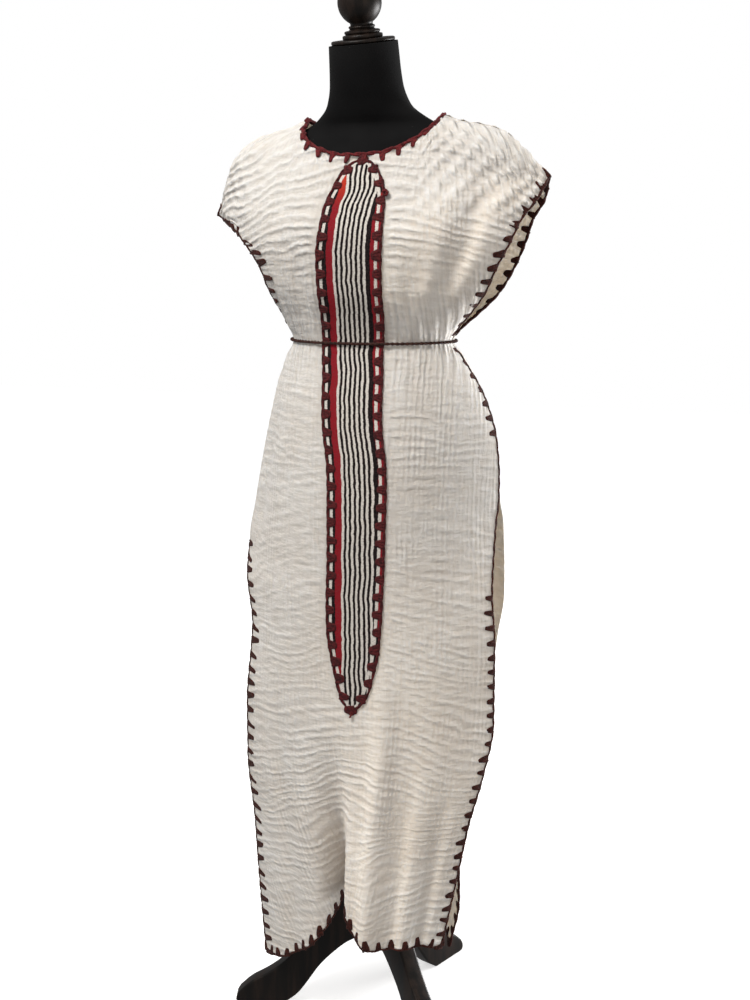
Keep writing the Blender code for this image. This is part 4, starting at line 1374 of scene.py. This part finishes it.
def side_line(face, side):
    """The yarn from the belt down to the hem, with stitches where the photograph shows them."""
    slit = SLIT_TOP[side]
    if side == "plus" and face == "front":
        return border(face, side, lambda p: p[:, 2] < BELT_Z - BELT_GAP,
                      lambda p: (p[:, 2] > SIDE_STITCHES_LOW_Z) | (p[:, 2] < slit))
    if side == "plus":
        return border(face, side, lambda p: p[:, 2] < BACK_EDGING_TOP)
    return border(face, side, lambda p: p[:, 2] < slit)


def hem_line(face):
    return border(face, "hem", lambda p: p[:, 2] < BELT_Z)


neck_stitches = sew("neck_stitches", [neck_line("front"), neck_line("back")], WINE_YARN,
                    "brown_yarn", 4, pitch=0.0250, cord_radius=0.0022, stitch_width=0.86,
                    stitch_length=1.0)
sleeve_lines = [sleeve_line(face, side) for face in panels for side in ("minus", "plus")]
sleeve_stitches = sew("sleeve_stitches", sleeve_lines, BROWN_YARN, "brown_yarn", 9,
                      pitch=0.0228, cord_radius=0.0016, stitch_width=1.04, stitch_length=1.12)
skirt_lines = [side_line(face, side) for face in panels for side in ("minus", "plus")]
skirt_lines += [hem_line(face) for face in panels]
skirt_stitches = sew("skirt_stitches", skirt_lines, BROWN_YARN, "brown_yarn", 12,
                     pitch=0.0228, cord_radius=0.0015, stitch_width=1.04, stitch_length=1.04)

# %% [markdown]
# The band's own stitches point inwards over the woven stripes. Between them a pale strip of
# cloth shows, which looks like a row of dashes from a step away.

# %% Sew the band
BAND_LIFT = 0.0005


def band_border(column, toward):
    line, out = band_points[:, column], band_normals[:, column]
    return path(line + out * BAND_LIFT, unit(band_points[:, toward] - line), out)


band_stitches = sew("band_stitches", [band_border(0, 8), band_border(-1, -9)], BAND_YARN,
                    "brown_yarn", 21, pitch=0.0266, cord_radius=0.0016, stitch_width=1.50,
                    stitch_length=0.94, unevenness=0.14, lean=0.12)

# %% [markdown]
# Two ends of the band's yarn were left loose: a small ball of it sits at the upper right of the
# band, and a short tail hangs from its lower point.

# %% Loose ends
UP = (0.0, 0.0, 1.0)
YARN_BALL_Z = 1.3367
YARN_BALL_RADIUS = 0.0036
YARN_BALL_OUT = 0.0045
YARN_BALL_ASIDE = np.array([0.0030, 0.0, 0.0])
TAIL_OUT = 0.0030
TAIL_LENGTH = 0.011
TAIL_SWAY = 0.0016

row = int(np.argmin(np.abs(band_points[:, -1, 2] - YARN_BALL_Z)))
turns = np.linspace(0, 5 * math.pi, 46)
coil = np.stack([np.cos(turns), np.sin(turns * 0.83) * 0.7, np.sin(turns)], axis=-1)
ball_place = band_points[row, -1] + band_normals[row, -1] * YARN_BALL_OUT + YARN_BALL_ASIDE
ball = path(ball_place + coil * YARN_BALL_RADIUS, UP, band_normals[row, -1], sewn=0.0)
along = np.linspace(0, 1, 12)[:, None]
hang = along * (0.0, 0.0, -TAIL_LENGTH) + np.sin(along * 5.0) * (TAIL_SWAY, 0.0, 0.0)
tip_normal = band_normals[-1, BAND_MIDDLE]
tail = path(band_points[-1, BAND_MIDDLE] + tip_normal * TAIL_OUT + hang, UP, tip_normal, sewn=0.0)
loose_ends = sew("loose_ends", [ball, tail], WINE_YARN, "brown_yarn", 31, cord_radius=0.0013,
                 cord_step=0.0012, turns=300.0)

# %% [markdown]
# The waist cord is two plies of yarn twisted together, tied at the back where the photograph
# doesn't reach. It follows the belted waist outside both panels and the band. The sewing tree
# lays such a cord already, so the same tree makes it, with no stitches.

# %% Waist cord
CORD_STANDOFF = 0.0044
CORD_OVER_BAND = 0.0012
CORD_POINTS = 300
CORD_END_GAP = 0.004


def waist_line():
    """Points once round the belted waist from the middle of the back, and its length."""
    u = np.sin(np.linspace(-math.pi / 2, math.pi / 2, 161))
    front = smooth_point("front", u, np.full_like(u, BELT_Z))
    back = smooth_point("back", u[::-1], np.full_like(u, BELT_Z))
    ring = np.concatenate([front, back[1:-1]])
    ring = np.concatenate([ring, ring[:1]])
    outward = unit(np.cross(np.gradient(ring, axis=0), UP))
    over_band = CORD_OVER_BAND * band_mask(ring[:, 0], ring[:, 2]) * (ring[:, 1] < 0)
    ring = ring + outward * (CORD_STANDOFF + over_band)[:, None]
    start = int(np.argmax(np.where(np.abs(ring[:, 0]) < 0.02, ring[:, 1], -1.0)))
    ring = np.concatenate([ring[start:-1], ring[: start + 1]]) + STAND
    length = lengths_along(ring)
    places = np.linspace(CORD_END_GAP, length[-1] - CORD_END_GAP, CORD_POINTS)
    points = np.stack([np.interp(places, length, ring[:, i]) for i in range(3)], axis=-1)
    return points, ring[0], float(length[-1])


cord_points, knot_place, cord_length = waist_line()
cord_path = path(cord_points, UP, unit(cord_points - STAND - (0.0, 0.0, BELT_Z)), sewn=0.0)
waist_cord = sew("twisted_cord", [cord_path], CORD_YARN, "brown_yarn", 2,
                 cord_radius=0.00165, cord_step=0.0022, turns=420.0)
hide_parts("waist_cord")
print("cord round the waist m", round(cord_length, 3))

# %% Knot
KNOT_WINDINGS = 3
KNOT_HALF = (0.0036, 0.0028, 0.0040)
KNOT_OUT = np.array([0.0, 0.0012, 0.0])


def make_knot():
    """A small knot: a cord that winds over itself round its own middle."""
    turns = np.linspace(0.0, 2 * math.pi * KNOT_WINDINGS, 60)
    wide, deep, high = KNOT_HALF
    x = wide * np.sin(turns / KNOT_WINDINGS * 0.5 + 0.4) + 0.0008 * np.cos(turns)
    line = np.stack([x, deep * np.cos(turns), high * np.sin(turns)], axis=-1)
    winding = path(line + knot_place + KNOT_OUT, UP, (0.0, 1.0, 0.0), sewn=0.0)
    made = sew("cord_knot", [winding], CORD_YARN, "brown_yarn", 5, cord_radius=0.0012,
               cord_step=0.0015, turns=420.0)
    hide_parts("waist_knot")


make_knot()

# %% [markdown]
# The dress form is smooth and round, with a neck that leans forward. Its sections are the
# solid's own, read at many more places, so the black jersey shows no facets.

# %% Dress form
TORSO = table(
    "z middle_x front_y back_y half_width power",
    [
        (0.800, 0.0, -0.098, 0.104, 0.163, 2.2),
        (0.900, 0.0, -0.104, 0.110, 0.166, 2.2),
        (1.000, 0.0, -0.097, 0.096, 0.150, 2.1),
        (1.060, 0.0, -0.090, 0.084, 0.126, 2.0),
        (1.120, 0.0, -0.086, 0.076, 0.1125, 2.0),
        (1.180, 0.0, -0.097, 0.078, 0.122, 2.0),
        (1.240, 0.0, -0.119, 0.082, 0.140, 2.1),
        (1.280, 0.0, -0.124, 0.082, 0.150, 2.2),
        (1.330, 0.0, -0.104, 0.077, 0.166, 2.2),
        (1.370, 0.0, -0.083, 0.064, 0.184, 2.1),
        (1.400, 0.0, -0.066, 0.048, 0.192, 2.0),
        (1.4199, 0.0, -0.050, 0.035, 0.182, 1.9),
        (1.430, 0.0, -0.041, 0.027, 0.136, 1.9),
        (1.441, 0.0, -0.037, 0.023, 0.104, 2.0),
        (1.450, -0.001, -0.043, 0.023, 0.088, 2.0),
        (1.470, -0.004, -0.055, 0.024, 0.066, 2.0),
        (1.500, -0.005, -0.069, 0.021, 0.056, 2.0),
        (1.557, -0.006, -0.086, 0.018, 0.0510, 2.0),
    ],
)
NECK_TOP = Vector((-0.006, -0.034, 1.557))
NECK_TILT_X = 0.030
NECK_TILT_Y = 0.200
NECK_TILT_FROM_Z = 1.470
FORM_POINTS = 96
FORM_ROWS = 150
FORM_INSET = 0.9985


def form_ring(z):
    angle = np.linspace(0.0, 2 * math.pi, FORM_POINTS, endpoint=False)
    power = 2 / at(TORSO, "power", z)
    cosine, sine = np.cos(angle), np.sin(angle)
    middle_y = (at(TORSO, "front_y", z) + at(TORSO, "back_y", z)) / 2
    half_depth = (at(TORSO, "back_y", z) - at(TORSO, "front_y", z)) / 2
    off_x = at(TORSO, "half_width", z) * np.sign(cosine) * np.abs(cosine) ** power
    off_y = half_depth * np.sign(sine) * np.abs(sine) ** power
    tilt = soft_step((z - NECK_TILT_FROM_Z) / (NECK_TOP.z - NECK_TILT_FROM_Z))
    height = z + tilt * (off_x * NECK_TILT_X + off_y * NECK_TILT_Y)
    return np.stack([at(TORSO, "middle_x", z) + off_x, middle_y + off_y, height], axis=-1)


def make_form():
    shape = bmesh.new()
    loops = []
    for z in np.linspace(TORSO["z"][0], TORSO["z"][-1], FORM_ROWS):
        ring = form_ring(z)
        centre = ring.mean(axis=0)
        ring = centre + (ring - centre) * FORM_INSET + STAND
        loops.append([shape.verts.new(point) for point in ring])
    for low, high in zip(loops, loops[1:]):
        for i in range(FORM_POINTS):
            j = (i + 1) % FORM_POINTS
            shape.faces.new((low[i], low[j], high[j], high[i]))
    shape.faces.new(list(reversed(loops[0])))
    shape.faces.new(loops[-1])
    mesh = keep_mesh("form_cover", shape, 60.0)
    return add_piece("form_cover", mesh, JERSEY, ["form_torso"])


form_cover = make_form()
print("form faces", len(form_cover.data.polygons))

# %% [markdown]
# The cap on the neck, the finial and the hub are turned wood: a profile spun about an axis.
# The profile is drawn with its small rings and coves, and bmesh spins it in one call.

# %% Turned wood
FINIAL_BALL_RADIUS = 0.0325
FINIAL_BALL_Z = 0.0500
FINIAL_NECK_RADIUS = 0.0172
PLATE_LIFT = 0.0003
FINIAL_LIFT = 0.0066


def ball_profile(count):
    """Radius and height round the finial's ball, from its top to its neck."""
    end = math.asin(FINIAL_NECK_RADIUS / FINIAL_BALL_RADIUS)
    angles = np.linspace(0.0, math.pi - end, count)
    return [(FINIAL_BALL_RADIUS * math.sin(a), FINIAL_BALL_Z + FINIAL_BALL_RADIUS * math.cos(a))
            for a in angles]


FINIAL = ball_profile(24) + [
    (0.0165, 0.0205), (0.0168, 0.0190), (0.0185, 0.0183), (0.0196, 0.0172), (0.0196, 0.0158),
    (0.0185, 0.0148), (0.0182, 0.0138), (0.0200, 0.0126), (0.0240, 0.0121), (0.0262, 0.0112),
    (0.0266, 0.0098), (0.0262, 0.0082), (0.0250, 0.0072), (0.0262, 0.0064), (0.0288, 0.0058),
    (0.0298, 0.0046), (0.0298, 0.0014), (0.0290, 0.0002), (0.0, 0.0),
]
PLATE = [
    (0.0, 0.0060), (0.0450, 0.0060), (0.0464, 0.0055), (0.0472, 0.0044), (0.0474, 0.0030),
    (0.0472, 0.0014), (0.0464, 0.0004), (0.0450, 0.0), (0.0, 0.0),
]
HUB = [
    (0.0, 0.2218), (0.0190, 0.2218), (0.0215, 0.2206), (0.0255, 0.2175), (0.0285, 0.2150),
    (0.0302, 0.2110), (0.0308, 0.2060), (0.0308, 0.1270), (0.0300, 0.1215), (0.0280, 0.1180),
    (0.0250, 0.1160), (0.0200, 0.1135), (0.0170, 0.1122), (0.0, 0.1122),
]


def turn(name, profile, node, place, up=Vector(UP), steps=72):
    """Spins a profile of radius and height about an axis that stands at a place."""
    shape = bmesh.new()
    line = [shape.verts.new((max(radius, 0.0), 0.0, height)) for radius, height in profile]
    edges = [shape.edges.new(pair) for pair in zip(line, line[1:])]
    bmesh.ops.spin(shape, geom=line + edges, cent=(0, 0, 0), axis=(0, 0, 1),
                   angle=2 * math.pi, steps=steps, use_duplicate=False)
    bmesh.ops.remove_doubles(shape, verts=shape.verts, dist=0.00002)
    bmesh.ops.recalc_face_normals(shape, faces=shape.faces)
    turned = Vector(UP).rotation_difference(up).to_matrix()
    for vert in shape.verts:
        vert.co = turned @ vert.co + Vector(place)
    made = add_piece(name, keep_mesh(name, shape, 50.0), WOOD, [node])
    print(name, "faces", len(made.data.polygons))


NECK_UP = Vector((-NECK_TILT_X, -NECK_TILT_Y, 1.0)).normalized()
neck_top = NECK_TOP + Vector(STAND)
turn("neck_cap", PLATE, "neck_plate", neck_top + NECK_UP * PLATE_LIFT, NECK_UP)
turn("turned_finial", FINIAL, "finial", neck_top + NECK_UP * FINIAL_LIFT, NECK_UP)
turn("turned_hub", HUB, "stand_hub", Vector(STAND))

# %% [markdown]
# A leg is sawn from a plank to an S curve and its edges are rounded over. The outline is a
# smooth curve through the solid's own corners, and a Bevel with several segments gives the
# round-over that catches the light.

# %% Legs
LEG_UPPER = table(
    "r z",
    [(0.0313, 0.206), (0.0600, 0.191), (0.0850, 0.165), (0.1080, 0.134), (0.1300, 0.103)]
    + [(0.1550, 0.076), (0.1820, 0.056), (0.2100, 0.040), (0.2300, 0.022)],
)
LEG_LOWER = table(
    "r z",
    [(0.0313, 0.122), (0.0480, 0.113), (0.0700, 0.095), (0.0940, 0.070), (0.1120, 0.044)]
    + [(0.1310, 0.019), (0.1560, 0.0)],
)
LEG_TOE = [(0.2345, 0.014), (0.2356, 0.0075), (0.2335, 0.002), (0.2290, 0.0)]
LEG_HALF = 0.014
LEG_ROUND_FROM = 0.032
LEG_ROUNDING = 0.0038
LEG_AZIMUTHS = {"stand_leg_front": 51.0, "stand_leg_side": -71.0, "stand_leg_back": 160.0}


def leg_outline():
    """The leg's outline as radius and height, along its top, round the toe and back below."""
    inner, outer = LEG_UPPER["r"][[0, -1]]
    heel = LEG_LOWER["r"][-1]
    upper = [(r, float(at(LEG_UPPER, "z", r))) for r in np.linspace(inner, outer, 26)]
    lower = [(r, float(at(LEG_LOWER, "z", r))) for r in np.linspace(heel, inner, 18)]
    return upper + LEG_TOE + lower


def make_leg(node, azimuth):
    shape = bmesh.new()
    outline = [shape.verts.new((r, -LEG_HALF, z)) for r, z in leg_outline()]
    face = shape.faces.new(outline)
    grown = bmesh.ops.extrude_face_region(shape, geom=[face])
    moved = [item for item in grown["geom"] if isinstance(item, bmesh.types.BMVert)]
    bmesh.ops.translate(shape, vec=(0.0, 2 * LEG_HALF, 0.0), verts=moved)
    sides = [f for f in shape.faces if len(f.verts) > 4]
    rims = list({edge for f in sides for edge in f.edges if edge.verts[0].co.x > LEG_ROUND_FROM})
    bmesh.ops.bevel(shape, geom=rims, offset=LEG_ROUNDING, segments=4, profile=0.5, affect="EDGES")
    bmesh.ops.recalc_face_normals(shape, faces=shape.faces)
    turn_by = math.radians(azimuth - 90.0)
    for vert in shape.verts:
        x, y, z = vert.co
        vert.co = (
            STAND[0] + x * math.cos(turn_by) - y * math.sin(turn_by),
            STAND[1] + x * math.sin(turn_by) + y * math.cos(turn_by),
            z,
        )
    return add_piece(node + "_shaped", keep_mesh(node + "_shaped", shape, 40.0), WOOD, [node])


for node, azimuth in LEG_AZIMUTHS.items():
    leg = make_leg(node, azimuth)
    print(leg.name, "faces", len(leg.data.polygons))

# %% [markdown] The stitch shape isn't needed any more

bpy.data.objects.remove(stitch)
